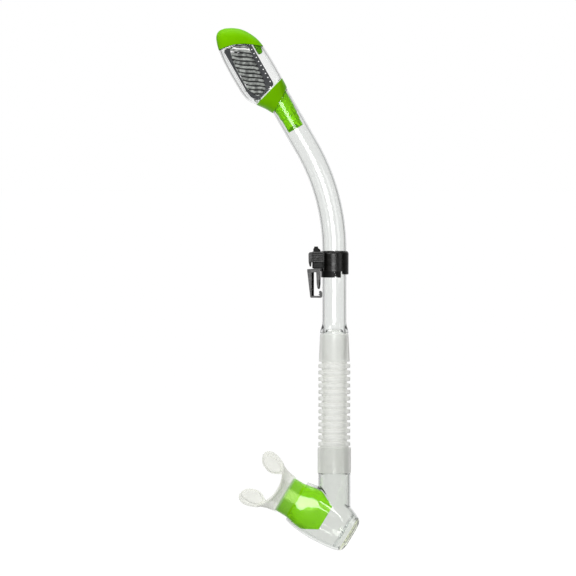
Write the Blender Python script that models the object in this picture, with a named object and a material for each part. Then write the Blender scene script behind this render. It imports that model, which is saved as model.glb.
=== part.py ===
"""Dry-top snorkel: clear bent barrel, valved head, strap keeper, hose, purge chamber and mouthpiece.

Sizes are in millimetres in a drawing frame whose Z runs up the straight barrel, X to the right and Y to the
back; its origin is where the hose axis meets the chamber axis. to_world moves the strap face to the origin.
"""

import math

import bmesh
import bpy
from mathutils import Vector

MM = 0.001
SIDES = 24

# Driving dimensions
BARREL_R = 11.0
BARREL_BORE_R = 9.4
BEND_R = 184.5
BEND_ANGLE = math.radians(30)
BEND_START_Z = 246.5
TOP_STRAIGHT = 48.3
SEAM_SLOPE = 0.6
GAP = 0.3

SPIGOT_BOTTOM_Z = 148.0
FLARE_Z = 171.6
FLARE_R = 12.8
HOSE_TOP_Z = FLARE_Z - GAP
HOSE_BOTTOM_Z = 45.8
HOSE_PIVOT_Z = 108.2
RIB_COUNT = 13
RIB_TOP_Z = 146.2
RIB_PITCH = 5.85
RIB_THICK = 3.6
RIB_R = 14.4
GROOVE_R = 11.4
HOSE_BORE_R = 9.9

SLEEVE_R = (11.15, 11.95)
RING_R = (12.1, 12.9)
RING_TOP_Z = 245.6
RING_BOTTOM_Z = 227.5
RING_SKIRT_Z = 224.6
LIP_Z = 244.3
LIP_R = 11.3
SLEEVE_SLOTS = ((0.4, 2.7, 0), (5.9, 12.5, 14))
RECEIVER_Y = (-13.4, -2.6)
HOOK_Y = (-11.5, -5.5)

SOCKET_R = 14.6
SOCKET_BORE_R = 12.8
SOCKET_TOP_Z = HOSE_BOTTOM_Z - GAP
CHAMBER_TILT = math.radians(-31)
CHAMBER_WALL = 1.7
PURGE_T = -1.2
PURGE_R = 10.6

FLOAT_HALF_DEPTH = 8.2
CAGE_HALF_DEPTH = 9.0
CAGE_WALL = 1.4
GRILLE_Y = (9.1, 10.4)
SLOT_PITCH = 3.7
SLOT_HEIGHT = 1.26
SLOT_WAVE = 0.4
SLOT_FALL = 0.14

# The flat inner face of the strap hook, where the strap lies
STRAP_FACE = Vector((-18.3, -8.5, 216.1))


def to_world(point):
    return (Vector(point) - STRAP_FACE) * MM


class Frame:
    """A flat frame in the XZ plane: a runs along its first axis, b along its second."""

    def __init__(self, x, z, tilt):
        self.x, self.z = x, z
        self.cos, self.sin = math.cos(tilt), math.sin(tilt)

    def at(self, a, b):
        return (self.x + a * self.cos - b * self.sin, self.z + a * self.sin + b * self.cos)


PLAIN = Frame(0, 0, 0)
ARC_END = (
    BEND_R * (math.cos(BEND_ANGLE) - 1),
    BEND_START_Z + BEND_R * math.sin(BEND_ANGLE),
)
HEAD = Frame(
    ARC_END[0] - TOP_STRAIGHT * math.sin(BEND_ANGLE),
    ARC_END[1] + TOP_STRAIGHT * math.cos(BEND_ANGLE),
    BEND_ANGLE,
)
CHAMBER = Frame(0, 0, CHAMBER_TILT)


# ---------------------------------------------------------------- mesh helpers


def clear_scene():
    for old in list(bpy.data.objects):
        bpy.data.objects.remove(old, do_unlink=True)


def material(name, colour, roughness, alpha=1.0, transmission=0.0):
    made = bpy.data.materials.new(name)
    made.use_nodes = True
    shader = made.node_tree.nodes["Principled BSDF"]
    shader.inputs["Base Color"].default_value = (*colour, 1)
    shader.inputs["Roughness"].default_value = roughness
    shader.inputs["Alpha"].default_value = alpha
    shader.inputs["Transmission Weight"].default_value = transmission
    made.diffuse_color = (*colour, alpha)
    return made


def add_object(name, mesh, origin):
    made = bpy.data.objects.new(name, mesh)
    made.location = origin
    bpy.context.scene.collection.objects.link(made)
    return made


def build(name, points, faces, look=None, origin=STRAP_FACE, smooth_angle=35):
    """A closed body from drawing points. Its faces are turned to point outward."""
    at = to_world(origin)
    mesh = bpy.data.meshes.new(name)
    mesh.from_pydata([to_world(p) - at for p in points], [], faces)
    work = bmesh.new()
    work.from_mesh(mesh)
    bmesh.ops.recalc_face_normals(work, faces=work.faces)
    if work.calc_volume(signed=True) < 0:
        bmesh.ops.reverse_faces(work, faces=work.faces)
    work.to_mesh(mesh)
    work.free()
    made = add_object(name, mesh, at)
    if look is None:
        made.hide_render = True
        made.display_type = "WIRE"
    else:
        mesh.materials.append(look)
        mesh.shade_smooth()
        mesh.set_sharp_from_angle(angle=math.radians(smooth_angle))
    return made


def power(value, exponent):
    return math.copysign(abs(value) ** exponent, value)


def ring(frame, left, right, depth, square=2.0, bulge=0.0):
    """A closed loop across the frame from left to right, depth is its half size in Y.

    square 2 is an ellipse and more is boxier. bulge lifts the middle along the frame's second axis.
    """
    loop = []
    for index in range(SIDES):
        angle = 2 * math.pi * index / SIDES
        across = power(math.cos(angle), 2 / square)
        part = (1 + across) / 2
        a = left[0] + (right[0] - left[0]) * part
        b = left[1] + (right[1] - left[1]) * part + bulge * math.sin(math.pi * part)
        x, z = frame.at(a, b)
        loop.append((x, depth * power(math.sin(angle), 2 / square), z))
    return loop


def round_ring(z, radius, x=0.0):
    return ring(PLAIN, (x - radius, z), (x + radius, z), radius)


def skin(loops, closed=False):
    """Points and faces over loops of equal count. closed joins the last to the first, else both ends are capped."""
    count = len(loops[0])
    points = [p for loop in loops for p in loop]
    faces = []
    pairs = len(loops) if closed else len(loops) - 1
    for k in range(pairs):
        start, after = k * count, (k + 1) % len(loops) * count
        for i in range(count):
            j = (i + 1) % count
            faces.append((start + i, start + j, after + j, after + i))
    if not closed:
        faces.append(tuple(range(count))[::-1])
        faces.append(tuple(range(len(points) - count, len(points))))
    return points, faces


def turned(profile):
    """Closed loops from (z, radius) pairs around the drawing's Z axis."""
    return [round_ring(z, radius) for z, radius in profile]


def prism(frame, outline, y_front, y_back):
    """The outline, in frame coordinates, drawn out from y_front to y_back."""
    flat = [frame.at(a, b) for a, b in outline]
    loops = [[(x, y, z) for x, z in flat] for y in (y_front, y_back)]
    return skin(loops)


def box(x, y, z):
    outline = [(x[0], z[0]), (x[1], z[0]), (x[1], z[1]), (x[0], z[1])]
    return prism(PLAIN, outline, *y)


def merged(shapes):
    points, faces = [], []
    for shape_points, shape_faces in shapes:
        base = len(points)
        points += shape_points
        faces += [tuple(base + i for i in face) for face in shape_faces]
    return points, faces


def boolean(target, cutter, operation):
    step = target.modifiers.new(operation.lower(), "BOOLEAN")
    step.object = cutter
    step.operation = operation
    step.solver = "EXACT"


def cut(target, name, shape):
    boolean(target, build(name, *shape), "DIFFERENCE")


def join(target, name, shape):
    boolean(target, build(name, *shape), "UNION")


def arc_points(centre, radius, start, end, count):
    """Points in a plane, angles in degrees."""
    made = []
    for k in range(count):
        angle = math.radians(start + (end - start) * k / (count - 1))
        made.append((centre[0] + radius * math.cos(angle), centre[1] + radius * math.sin(angle)))
    return made


def rounded(outline, radius, steps=3):
    """The outline with each corner replaced by a short curve."""
    made = []
    count = len(outline)
    for k, corner in enumerate(outline):
        here = Vector(corner)
        back = Vector(outline[k - 1]) - here
        ahead = Vector(outline[(k + 1) % count]) - here
        reach = min(radius, back.length * 0.45, ahead.length * 0.45)
        start, end = here + back.normalized() * reach, here + ahead.normalized() * reach
        for s in range(steps + 1):
            t = s / steps
            made.append(tuple((1 - t) ** 2 * start + 2 * t * (1 - t) * here + t * t * end))
    return made


def inset(outline, distance):
    """A counter-clockwise outline moved inward by distance, for gently cornered shapes."""
    made = []
    count = len(outline)
    for k, corner in enumerate(outline):
        here = Vector(corner)
        first = (here - Vector(outline[k - 1])).normalized()
        second = (Vector(outline[(k + 1) % count]) - here).normalized()
        normals = [Vector((-d.y, d.x)) for d in (first, second)]
        bisector = (normals[0] + normals[1]).normalized()
        made.append(tuple(here + bisector * distance / max(0.3, bisector.dot(normals[0]))))
    return made


# ---------------------------------------------------------------- barrel


def barrel_loops(radius, stations):
    """Loops of one radius along the barrel, from the straight part round the bend to the oblique end."""
    loops = [round_ring(z, radius) for z in stations]
    steps = 7
    for k in range(1, steps + 1):
        angle = BEND_ANGLE * k / steps
        here = Frame(
            BEND_R * (math.cos(angle) - 1), BEND_START_Z + BEND_R * math.sin(angle), angle
        )
        loops.append(ring(here, (-radius, 0), (radius, 0), radius))
    loops.append(ring(HEAD, (-radius, -9), (radius, -9), radius))
    rise = radius * SEAM_SLOPE
    loops.append(ring(HEAD, (-radius, -rise), (radius, rise), radius))
    return loops


def make_barrel(look):
    foot = [(SPIGOT_BOTTOM_Z, 10.2)]
    for barb in range(3):
        low = SPIGOT_BOTTOM_Z + 1.2 + barb * 6.4
        foot += [(low, 10.9), (low + 4.6, 10.3)]
    foot += [
        (FLARE_Z, 10.3),
        (FLARE_Z, FLARE_R),
        (FLARE_Z + 2.4, FLARE_R - 0.25),
        (FLARE_Z + 6.4, BARREL_R + 0.35),
        (FLARE_Z + 8.0, BARREL_R),
    ]
    outer = turned(foot) + barrel_loops(BARREL_R, (BEND_START_Z,))
    inner = barrel_loops(BARREL_BORE_R, (SPIGOT_BOTTOM_Z, BEND_START_Z))
    made = build("barrel", *skin(outer + inner[::-1], closed=True), look)
    nib = rounded([(-6.8, 268.2), (-5.0, 268.2), (-5.0, 275.0), (-6.8, 275.0)], 0.8, 2)
    join(made, "nib_shape", prism(PLAIN, nib, -10.4, -8.9))
    return made


# ---------------------------------------------------------------- dry-top head


def head_ring(left, right, depth, square, bulge=0.0):
    return ring(HEAD, left, right, depth, square, bulge)


def plug_ring(height, left, right, lift=0.0):
    """A loop of the plug, lift is the slope of its plane."""
    middle = (right - left) / 2
    return head_ring((-left, height - left * lift), (right, height + right * lift), middle + left, 2.0)


def make_head_base(look):
    outer = [
        plug_ring(-28.8, 7.2, 7.0),
        plug_ring(-28.0, 7.5, 7.4),
        plug_ring(-22.2, 7.5, 7.4),
        plug_ring(-21.8, 7.5, 8.0),
        plug_ring(-16.2, 7.5, 8.0),
        plug_ring(-15.8, 8.1, 8.6),
        plug_ring(-10.2, 8.1, 8.6),
        plug_ring(-9.8, 8.2, 9.0),
        head_ring((-8.9, -5.3 + GAP), (9.0, 5.4 + GAP), 9.0, 2.0),
        head_ring((-11.2, -6.7 + GAP), (11.2, 6.7 + GAP), 11.2, 2.0),
        head_ring((-12.9, -3.2), (11.7, 8.7), 11.7, 2.2),
        head_ring((-15.0, 0.5), (11.9, 11.1), 12.5, 2.6),
        head_ring((-17.7, 4.1), (11.95, 14.0), 13.3, 3.1),
        head_ring((-20.2, 7.7), (11.95, 16.85), 14.0, 3.6),
    ]
    inner = [
        head_ring((-18.5, 8.16), (10.4, 16.4), 12.4, 3.6),
        head_ring((-15.9, 5.9), (10.3, 13.6), 11.6, 3.1),
        head_ring((-12.6, 2.6), (10.0, 10.6), 10.2, 2.6),
        head_ring((-8.6, -2.0), (8.6, 6.0), 8.2, 2.1),
        head_ring((-6.1, -6.0), (6.1, 0.0), 6.1, 2.0),
        plug_ring(-12.0, 6.0, 6.0),
        plug_ring(-28.8, 6.0, 6.0),
    ]
    made = build("head_base", *skin(outer + inner, closed=True), look)
    scoop = [(-9.0, -30.0), (-7.3, -28.0), (-4.6, -26.0), (0.5, -24.6), (2.6, -25.8), (3.4, -30.0)]
    cut(made, "scoop_cutter", prism(HEAD, scoop, -12, -2))
    return made


HOUSING_RINGS = [
    ((-20.3, 8.1), (11.95, 17.15), 14.0, 3.6, 0.0),
    ((-23.7, 12.2), (12.2, 19.6), 14.4, 4.1, 0.0),
    ((-25.8, 16.5), (12.3, 22.4), 14.6, 4.2, 0.0),
    ((-26.8, 24.1), (12.4, 28.0), 14.7, 4.0, 0.0),
    ((-27.1, 40.3), (12.3, 38.5), 14.8, 4.0, 0.0),
    ((-26.9, 50.0), (12.1, 43.5), 14.8, 4.0, 0.6),
    ((-26.4, 57.5), (11.9, 46.5), 14.7, 4.0, 1.8),
    ((-25.7, 63.0), (11.8, 48.6), 14.5, 4.0, 3.2),
    ((-24.95, 66.9), (11.6, 49.9), 14.3, 4.0, 4.2),
]
CAGE_OUTLINE = [
    (-15.6, 10.2),
    (2.0, 15.4),
    (3.0, 17.4),
    (3.0, 56.2),
    (-2.4, 60.6),
    (-10.0, 64.2),
    (-19.8, 65.0),
    (-21.6, 62.6),
    (-21.9, 22.5),
    (-21.0, 16.2),
    (-18.4, 11.4),
]
WINDOW_OUTLINE = [
    (-15.0, 11.6),
    (1.6, 16.3),
    (3.4, 18.0),
    (3.4, 55.4),
    (-2.4, 59.6),
    (-10.0, 63.2),
    (-19.8, 64.0),
    (-22.2, 62.0),
    (-22.5, 22.5),
    (-21.6, 16.8),
    (-18.8, 12.6),
]
LOUVRE_FIELD = [
    (-14.4, 13.2),
    (-6.0, 15.4),
    (-3.0, 23.6),
    (-0.2, 57.3),
    (-3.2, 59.4),
    (-10.4, 62.9),
    (-15.8, 62.8),
    (-18.4, 54.0),
    (-19.9, 43.5),
    (-20.1, 25.0),
    (-17.4, 16.6),
]


def make_housing(look):
    wall = 1.5
    outer = [head_ring(*row) for row in HOUSING_RINGS]
    inner = []
    for left, right, depth, square, bulge in HOUSING_RINGS:
        slope = (right[1] - left[1]) / (right[0] - left[0])
        near = (left[0] + wall, left[1] + wall * slope)
        far = (right[0] - wall, right[1] - wall * slope)
        inner.append(head_ring(near, far, depth - wall, square, bulge))
    made = build("head_housing", *skin(outer + inner[::-1], closed=True), look)
    cut(made, "window_cutter", prism(HEAD, rounded(WINDOW_OUTLINE, 2.0), -20, 20))
    return made


def span_across(outline, z):
    """The X range of a level line inside an outline given in drawing coordinates."""
    hits = []
    count = len(outline)
    for k in range(count):
        (x0, z0), (x1, z1) = outline[k - 1], outline[k]
        if (z0 > z) != (z1 > z):
            hits.append(x0 + (x1 - x0) * (z - z0) / (z1 - z0))
    return (min(hits), max(hits)) if hits else None


def wavy_slot(x_range, z):
    """The outline of a louvre slot that waves gently and falls a little to the right."""
    steps = 8
    centre = (x_range[0] + x_range[1]) / 2
    low, high = [], []
    for k in range(steps + 1):
        t = k / steps
        x = x_range[0] + (x_range[1] - x_range[0]) * t
        middle = z - SLOT_FALL * (x - centre) - SLOT_WAVE * math.sin(2 * math.pi * t)
        low.append((x, middle - SLOT_HEIGHT / 2))
        high.append((x, middle + SLOT_HEIGHT / 2))
    return low + high[::-1]


def make_cage(look):
    outline = rounded(CAGE_OUTLINE, 1.0, 1)
    made = build("float_cage", *prism(HEAD, outline, -CAGE_HALF_DEPTH, CAGE_HALF_DEPTH), look)
    cut(made, "cage_hollow", prism(HEAD, inset(CAGE_OUTLINE, CAGE_WALL), -15, 15))
    port = rounded([(-18.6, 62), (-12.2, 62), (-12.2, 69), (-18.6, 69)], 0.6, 1)
    cut(made, "port_cutter", prism(HEAD, port, -5.0, 5.0))
    return made


def louvre_slots():
    field = [HEAD.at(*p) for p in LOUVRE_FIELD]
    lowest = min(z for _, z in field)
    highest = max(z for _, z in field)
    margin = 1.2
    slots = []
    for k in range(int((highest - lowest) / SLOT_PITCH)):
        z = highest - 1.1 - SLOT_PITCH * (k + 0.5)
        spans = [span_across(field, z + offset) for offset in (-margin, 0, margin)]
        if None in spans:
            continue
        x_range = (max(s[0] for s in spans), min(s[1] for s in spans))
        if x_range[1] - x_range[0] > 4.5:
            slots.append(prism(PLAIN, wavy_slot(x_range, z), -15, 15))
    return slots


def drain_holes():
    """A row of small holes down the partition side of a grille."""
    holes = []
    for k in range(9):
        u, v = 1.15, 19.6 + 4.15 * k
        square = [(u - 0.5, v - 0.5), (u + 0.5, v - 0.5), (u + 0.5, v + 0.5), (u - 0.5, v + 0.5)]
        holes.append(prism(HEAD, square, -15, 15))
    return holes


def make_grilles(look):
    outline = rounded(inset(CAGE_OUTLINE, 0.1), 1.0, 1)
    for name, sign in (("vent_grille_front", -1), ("vent_grille_back", 1)):
        shape = prism(HEAD, outline, sign * GRILLE_Y[0], sign * GRILLE_Y[1])
        made = build(name, *shape, look)
        cut(made, name + "_cutter", merged(louvre_slots() + drain_holes()))


def make_float(look):
    outline = [
        (-13.6, 13.1),
        (0.2, 17.1),
        (0.6, 18.9),
        (0.6, 48.9),
        (-4.4, 52.9),
        (-10.2, 56.3),
        (-19.4, 56.3),
        (-19.4, 22.5),
        (-17.6, 16.5),
    ]
    shape = prism(HEAD, rounded(outline, 1.4, 2), -FLOAT_HALF_DEPTH, FLOAT_HALF_DEPTH)
    return build("float", *shape, look)


def make_float_seal(look):
    outline = [(-19.2, 56.6), (-11.2, 56.6), (-11.6, 58.4), (-18.8, 59.0)]
    return build("float_seal", *prism(HEAD, outline, -6.6, 6.6), look)


CAP_RINGS = [
    ((-24.9, 67.2), (11.6, 50.2), 14.3, 4.0, 4.2),
    ((-24.1, 70.4), (11.0, 54.9), 14.0, 3.8, 4.0),
    ((-23.2, 73.4), (9.7, 60.0), 13.1, 3.4, 3.4),
    ((-22.2, 76.2), (7.4, 65.2), 11.6, 3.0, 2.8),
    ((-20.8, 78.7), (4.3, 70.4), 9.3, 2.6, 2.0),
    ((-18.8, 80.8), (1.0, 74.3), 6.4, 2.3, 1.2),
    ((-15.6, 82.1), (-4.2, 78.2), 3.2, 2.0, 0.4),
]
CAP_INNER_RINGS = [
    ((-23.4, 66.6), (10.1, 50.9), 12.8, 4.0, 4.2),
    ((-22.6, 70.0), (9.5, 54.6), 12.5, 3.8, 4.0),
    ((-21.8, 72.4), (8.2, 59.2), 11.6, 3.4, 3.4),
    ((-20.8, 74.9), (5.9, 64.0), 10.1, 3.0, 2.6),
    ((-19.5, 77.1), (3.0, 68.8), 7.9, 2.6, 1.6),
    ((-17.7, 79.0), (-0.2, 72.6), 5.0, 2.3, 0.8),
    ((-15.0, 80.1), (-4.7, 76.6), 2.0, 2.0, 0.2),
]


def make_cap(look):
    outer = [head_ring(*row) for row in CAP_RINGS]
    inner = [head_ring(*row) for row in CAP_INNER_RINGS]
    made = build("head_cap", *skin(outer[::-1] + inner), look)
    tongue = [
        (4.2, 46.2),
        (5.2, 45.3),
        (7.8, 45.3),
        (8.7, 46.2),
        (9.4, 50.6),
        (10.2, 53.0),
        (9.0, 58.0),
        (4.2, 58.0),
    ]
    for name, front in (("tongue_front", -6.8), ("tongue_back", 5.2)):
        join(made, name, prism(HEAD, tongue, front, front + 1.6))
    return made


# ---------------------------------------------------------------- strap keeper


def make_sleeve(look):
    low, high = RING_SKIRT_Z - 2.7, LIP_Z - GAP
    inner, outer = SLEEVE_R
    loops = turned([(low, inner), (low, outer), (high, outer), (high, inner)])
    made = build("keeper_sleeve", *skin(loops, closed=True), look, origin=(0, 0, RING_BOTTOM_Z))
    slots = [box((left, right), (-14, back), (210, RING_BOTTOM_Z + 0.5)) for left, right, back in SLEEVE_SLOTS]
    cut(made, "slot_cutters", merged(slots))
    return made


def make_keeper_ring(look):
    inner, outer = RING_R
    loops = turned([(RING_SKIRT_Z, 0.5), (RING_SKIRT_Z, outer), (RING_TOP_Z - 1.2, outer)])
    loops += turned([(RING_TOP_Z, outer - 0.5), (RING_TOP_Z, 0.5)])
    made = build("keeper_ring", *skin(loops), look, origin=(0, 0, RING_BOTTOM_Z))
    cut(made, "skirt_cutter", box((-30, 8.1), (-20, 20), (RING_SKIRT_Z - 3, RING_BOTTOM_Z)))
    receiver = [(-19.9, 230.2), (-9.4, 230.2), (-9.0, 232), (-9.0, RING_TOP_Z), (-19.9, RING_TOP_Z)]
    join(made, "receiver_shape", prism(PLAIN, receiver, *RECEIVER_Y))
    wing = [
        (-19.4, 245.4),
        (-22.0, 245.4),
        (-23.3, 243.9),
        (-23.2, 236.0),
        (-22.2, 231.8),
        (-20.8, 231.8),
        (-20.4, 236.0),
        (-19.4, 239.0),
    ]
    join(made, "wing_shape", prism(PLAIN, wing, -12.2, -4.6))
    bore = turned([(RING_SKIRT_Z - 5, inner), (LIP_Z, inner), (LIP_Z, LIP_R), (RING_TOP_Z + 5, LIP_R)])
    cut(made, "ring_bore", skin(bore))
    stem_hole = box((-18.7, -12.95), (HOOK_Y[0] - GAP, HOOK_Y[1] + GAP), (225, 243))
    cut(made, "stem_hole", stem_hole)
    button_pocket = box((-19.25, -12.15), (HOOK_Y[0] - 0.4, HOOK_Y[1] + 1.1), (241.8, 250))
    cut(made, "button_pocket", button_pocket)
    return made


def make_button(look):
    outline = [
        (-18.95, 243.9),
        (-12.45, 243.9),
        (-12.45, 246.6),
        (-13.6, 247.9),
        (-14.5, 248.1),
        (-14.7, 249.8),
        (-18.1, 249.8),
        (-18.3, 248.2),
        (-18.95, 247.9),
    ]
    shape = prism(PLAIN, outline, HOOK_Y[0] - 0.1, HOOK_Y[1] + 0.8)
    return build("release_button", *shape, look, origin=(-15.8, -8.5, 246))


def make_hook(look):
    outline = [
        (-24.6, 229.4),
        (-21.7, 204.3),
        (-21.1, 203.7),
        (-11.8, 203.7),
        (-10.9, 204.7),
        (-10.7, 207.9),
        (-11.4, 209.5),
        (-12.6, 210.1),
        (-13.7, 209.5),
        (-13.9, 208.3),
        (-12.9, 207.2),
        (-13.2, 205.5),
        (-18.3, 205.5),
        (-18.3, 226.7),
        (-16.3, 226.7),
        (-15.9, 215.9),
        (-15.3, 212.4),
        (-14.1, 211.4),
        (-12.9, 212.2),
        (-12.4, 216.0),
        (-12.3, 229.8),
        (-13.25, 229.8),
        (-13.25, 240.0),
        (-18.4, 240.0),
        (-18.4, 229.8),
    ]
    return build("strap_hook", *prism(PLAIN, outline, *HOOK_Y), look, origin=(-15.8, -8.5, 229.8))


# ---------------------------------------------------------------- hose


def make_hose(look):
    outer = [(HOSE_TOP_Z, 12.2), (HOSE_TOP_Z - 0.6, 12.8), (RIB_TOP_Z + 0.8, 13.9), (RIB_TOP_Z, 13.9)]
    groove = RIB_PITCH - RIB_THICK
    for k in range(RIB_COUNT):
        top = RIB_TOP_Z - k * RIB_PITCH
        outer += [
            (top - 0.2, GROOVE_R),
            (top - groove, GROOVE_R),
            (top - groove - 0.3, RIB_R),
            (top - RIB_PITCH, RIB_R),
        ]
    bottom = RIB_TOP_Z - RIB_COUNT * RIB_PITCH
    outer += [
        (bottom - 0.2, GROOVE_R + 0.6),
        (bottom - 1.2, GROOVE_R + 0.6),
        (bottom - 1.5, 15.0),
        (HOSE_BOTTOM_Z, 15.0),
    ]
    inner = [
        (HOSE_BOTTOM_Z, 13.0),
        (SOCKET_TOP_Z + 24.5, 13.0),
        (SOCKET_TOP_Z + 25.5, HOSE_BORE_R),
        (SPIGOT_BOTTOM_Z - 1.6, HOSE_BORE_R),
        (SPIGOT_BOTTOM_Z - 0.8, 11.25),
        (HOSE_TOP_Z, 11.25),
    ]
    shape = skin(turned(outer + inner), closed=True)
    return build("hose", *shape, look, origin=(0, 0, HOSE_PIVOT_Z))


# ---------------------------------------------------------------- purge chamber and mouthpiece


def chamber_ring(along, low, high, depth, square):
    """A loop across the chamber axis. Its left point is the low side."""
    return ring(CHAMBER, (along, low), (along, high), depth, square)


CHAMBER_RINGS = [
    (-39.6, -19.2, 19.6, 13.6, 2.7),
    (-36.0, -20.2, 20.4, 14.2, 2.8),
    (-31.0, -21.4, 21.5, 14.8, 3.0),
    (-22.0, -22.4, 22.5, 15.2, 3.2),
    (-12.0, -22.5, 22.7, 15.2, 3.2),
    (-3.0, -22.0, 22.2, 15.2, 3.2),
    (4.0, -21.3, 20.9, 15.2, 3.2),
    (9.6, -20.5, 18.6, 14.9, 3.1),
    (12.8, -19.8, 17.2, 14.5, 3.0),
    (14.8, -19.0, 16.1, 14.1, 3.0),
]


def thinner(row, wall):
    along, low, high, depth, square = row
    return chamber_ring(along, low + wall, high - wall, depth - wall, square)


def make_chamber(look):
    foot = [
        (4.0, SOCKET_R),
        (SOCKET_TOP_Z, SOCKET_R),
        (SOCKET_TOP_Z, 12.3),
        (SOCKET_TOP_Z + 6.0, 12.7),
        (SOCKET_TOP_Z + 7.0, 12.2),
        (SOCKET_TOP_Z + 12.6, 12.7),
        (SOCKET_TOP_Z + 13.6, 12.2),
        (SOCKET_TOP_Z + 22.0, 12.2),
        (SOCKET_TOP_Z + 23.0, 11.8),
    ]
    body = build("purge_chamber", *skin([chamber_ring(*row) for row in CHAMBER_RINGS]), look)
    join(body, "socket_shape", skin(turned(foot)))
    rows = [thinner(row, CHAMBER_WALL) for row in CHAMBER_RINGS]
    ends = [
        [(x - 5 * CHAMBER.cos, y, z - 5 * CHAMBER.sin) for x, y, z in rows[0]],
        [(x + 5 * CHAMBER.cos, y, z + 5 * CHAMBER.sin) for x, y, z in rows[-1]],
    ]
    cut(body, "chamber_hollow", skin([ends[0]] + rows + [ends[1]]))
    bore = [(6.0, SOCKET_BORE_R), (SOCKET_TOP_Z - 3, SOCKET_BORE_R), (SOCKET_TOP_Z, 10.6)]
    bore.append((SOCKET_TOP_Z + 30, 10.6))
    cut(body, "socket_hollow", skin(turned(bore)))
    return body


ADAPTER_RINGS = [
    (-52.3, -16.8, 16.8, 10.0, 2.6),
    (-42.0, -16.9, 16.9, 11.2, 2.6),
    (-39.0, -17.2, 17.4, 11.5, 2.7),
    (-31.0, -19.0, 19.2, 12.5, 3.0),
    (-22.0, -19.9, 20.0, 13.1, 3.2),
    (-9.8, -19.9, 20.0, 13.1, 3.2),
]


def make_adapter(look):
    """The adapter's right end is cut to a blunt point."""
    outer = [chamber_ring(*row) for row in ADAPTER_RINGS]
    inner = [thinner(row, 1.5) for row in ADAPTER_RINGS]
    made = build("mouthpiece_adapter", *skin(outer + inner[::-1], closed=True), look)
    upper = [(-9.4, 12.5), (-29.0, 21.3), (-29.0, 26.0), (-5.0, 26.0), (-5.0, 12.5)]
    lower = [(-9.4, -10.8), (-5.0, -10.8), (-5.0, -26.0), (-25.2, -26.0), (-25.2, -19.6)]
    cut(made, "upper_chamfer", prism(CHAMBER, upper, -20, 20))
    cut(made, "lower_chamfer", prism(CHAMBER, lower, -20, 20))
    return made


def mouth_ring(along, half, depth, square, sweep):
    """A loop across the mouthpiece whose ends sweep back along the chamber axis."""
    loop = []
    for index in range(SIDES):
        angle = 2 * math.pi * index / SIDES
        across = power(math.cos(angle), 2 / square)
        x, z = CHAMBER.at(along - sweep * across**2, half * across)
        loop.append((x, depth * power(math.sin(angle), 2 / square), z))
    return loop


COLLAR_END = -41.0
BITE_TAB = [
    (-61.9, 14.0),
    (-64.6, 13.4),
    (-68.0, 11.2),
    (-71.2, 9.8),
    (-75.2, 9.6),
    (-81.4, 11.7),
    (-84.3, 14.0),
    (-86.5, 18.0),
    (-87.3, 21.8),
    (-85.0, 25.4),
    (-81.3, 27.0),
    (-76.0, 26.7),
    (-70.0, 24.6),
    (-66.0, 22.6),
]
BITE_PAD = [
    (-65.8, 14.8),
    (-68.6, 12.6),
    (-71.6, 11.2),
    (-75.2, 11.0),
    (-80.8, 13.0),
    (-83.4, 15.0),
    (-85.4, 18.4),
    (-85.6, 20.8),
    (-83.0, 22.0),
    (-75.0, 22.6),
    (-69.0, 20.6),
    (-66.4, 18.2),
]


def make_mouthpiece(look):
    loops = [
        mouth_ring(COLLAR_END, 18.0, 12.5, 2.6, 0.0),
        mouth_ring(-50.6, 18.0, 11.6, 2.5, 0.0),
        mouth_ring(-53.6, 18.3, 13.2, 2.4, 1.0),
        mouth_ring(-56.2, 19.3, 15.0, 2.3, 3.4),
        mouth_ring(-57.9, 21.0, 17.0, 2.2, 6.4),
        mouth_ring(-58.7, 22.4, 18.4, 2.2, 8.6),
        mouth_ring(-59.9, 21.9, 17.9, 2.2, 8.4),
        mouth_ring(-59.2, 17.0, 13.0, 2.1, 5.2),
        mouth_ring(-57.6, 11.4, 8.2, 2.0, 1.6),
        mouth_ring(-55.4, 10.4, 7.2, 2.0, 0.6),
        mouth_ring(-52.9, 10.4, 7.2, 2.0, 0.0),
        mouth_ring(-52.6, 16.9, 10.2, 2.5, 0.0),
        mouth_ring(-51.8, 17.1, 10.4, 2.6, 0.0),
        mouth_ring(COLLAR_END, 17.1, 11.7, 2.6, 0.0),
    ]
    made = build("mouthpiece", *skin(loops, closed=True), look, smooth_angle=50)
    for side, sign in (("upper", 1), ("lower", -1)):
        wing = [(w, sign * t) for w, t in BITE_TAB]
        pad = [(w, sign * t) for w, t in BITE_PAD]
        join(made, side + "_tab", prism(CHAMBER, wing, -1.7, 1.7))
        join(made, side + "_bite", prism(CHAMBER, pad, -3.3, 3.3))
    return made


def disc_ring(along, radius):
    return chamber_ring(along, PURGE_T - radius, PURGE_T + radius, radius, 2.0)


def make_purge_seat(look):
    rows = [(9.4, -18.4, 16.5, 12.8, 3.1), (11.0, -18.1, 15.8, 12.4, 3.0)]
    made = build("purge_seat", *skin([chamber_ring(*row) for row in rows]), look)
    holes = [skin([disc_ring(5.0, 1.7), disc_ring(15.0, 1.7)])]
    for k in range(6):
        angle = math.radians(30 + 60 * k)
        middle, aside = PURGE_T + 6.1 * math.cos(angle), 6.1 * math.sin(angle)
        loops = []
        for along in (5.0, 15.0):
            loop = chamber_ring(along, middle - 2.1, middle + 2.1, 2.1, 2.0)
            loops.append([(x, y + aside, z) for x, y, z in loop])
        holes.append(skin(loops))
    cut(made, "seat_holes", merged(holes))
    return made


def make_membrane(look):
    loops = [
        disc_ring(6.0, 1.3),
        disc_ring(6.4, 2.1),
        disc_ring(7.4, 2.1),
        disc_ring(7.8, 1.3),
        disc_ring(11.3, 1.3),
        disc_ring(11.3, PURGE_R),
        disc_ring(11.9, PURGE_R),
        disc_ring(12.3, 2.0),
    ]
    x, z = CHAMBER.at(11.3, PURGE_T)
    return build("purge_membrane", *skin(loops), look, origin=(x, 0, z))


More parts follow.
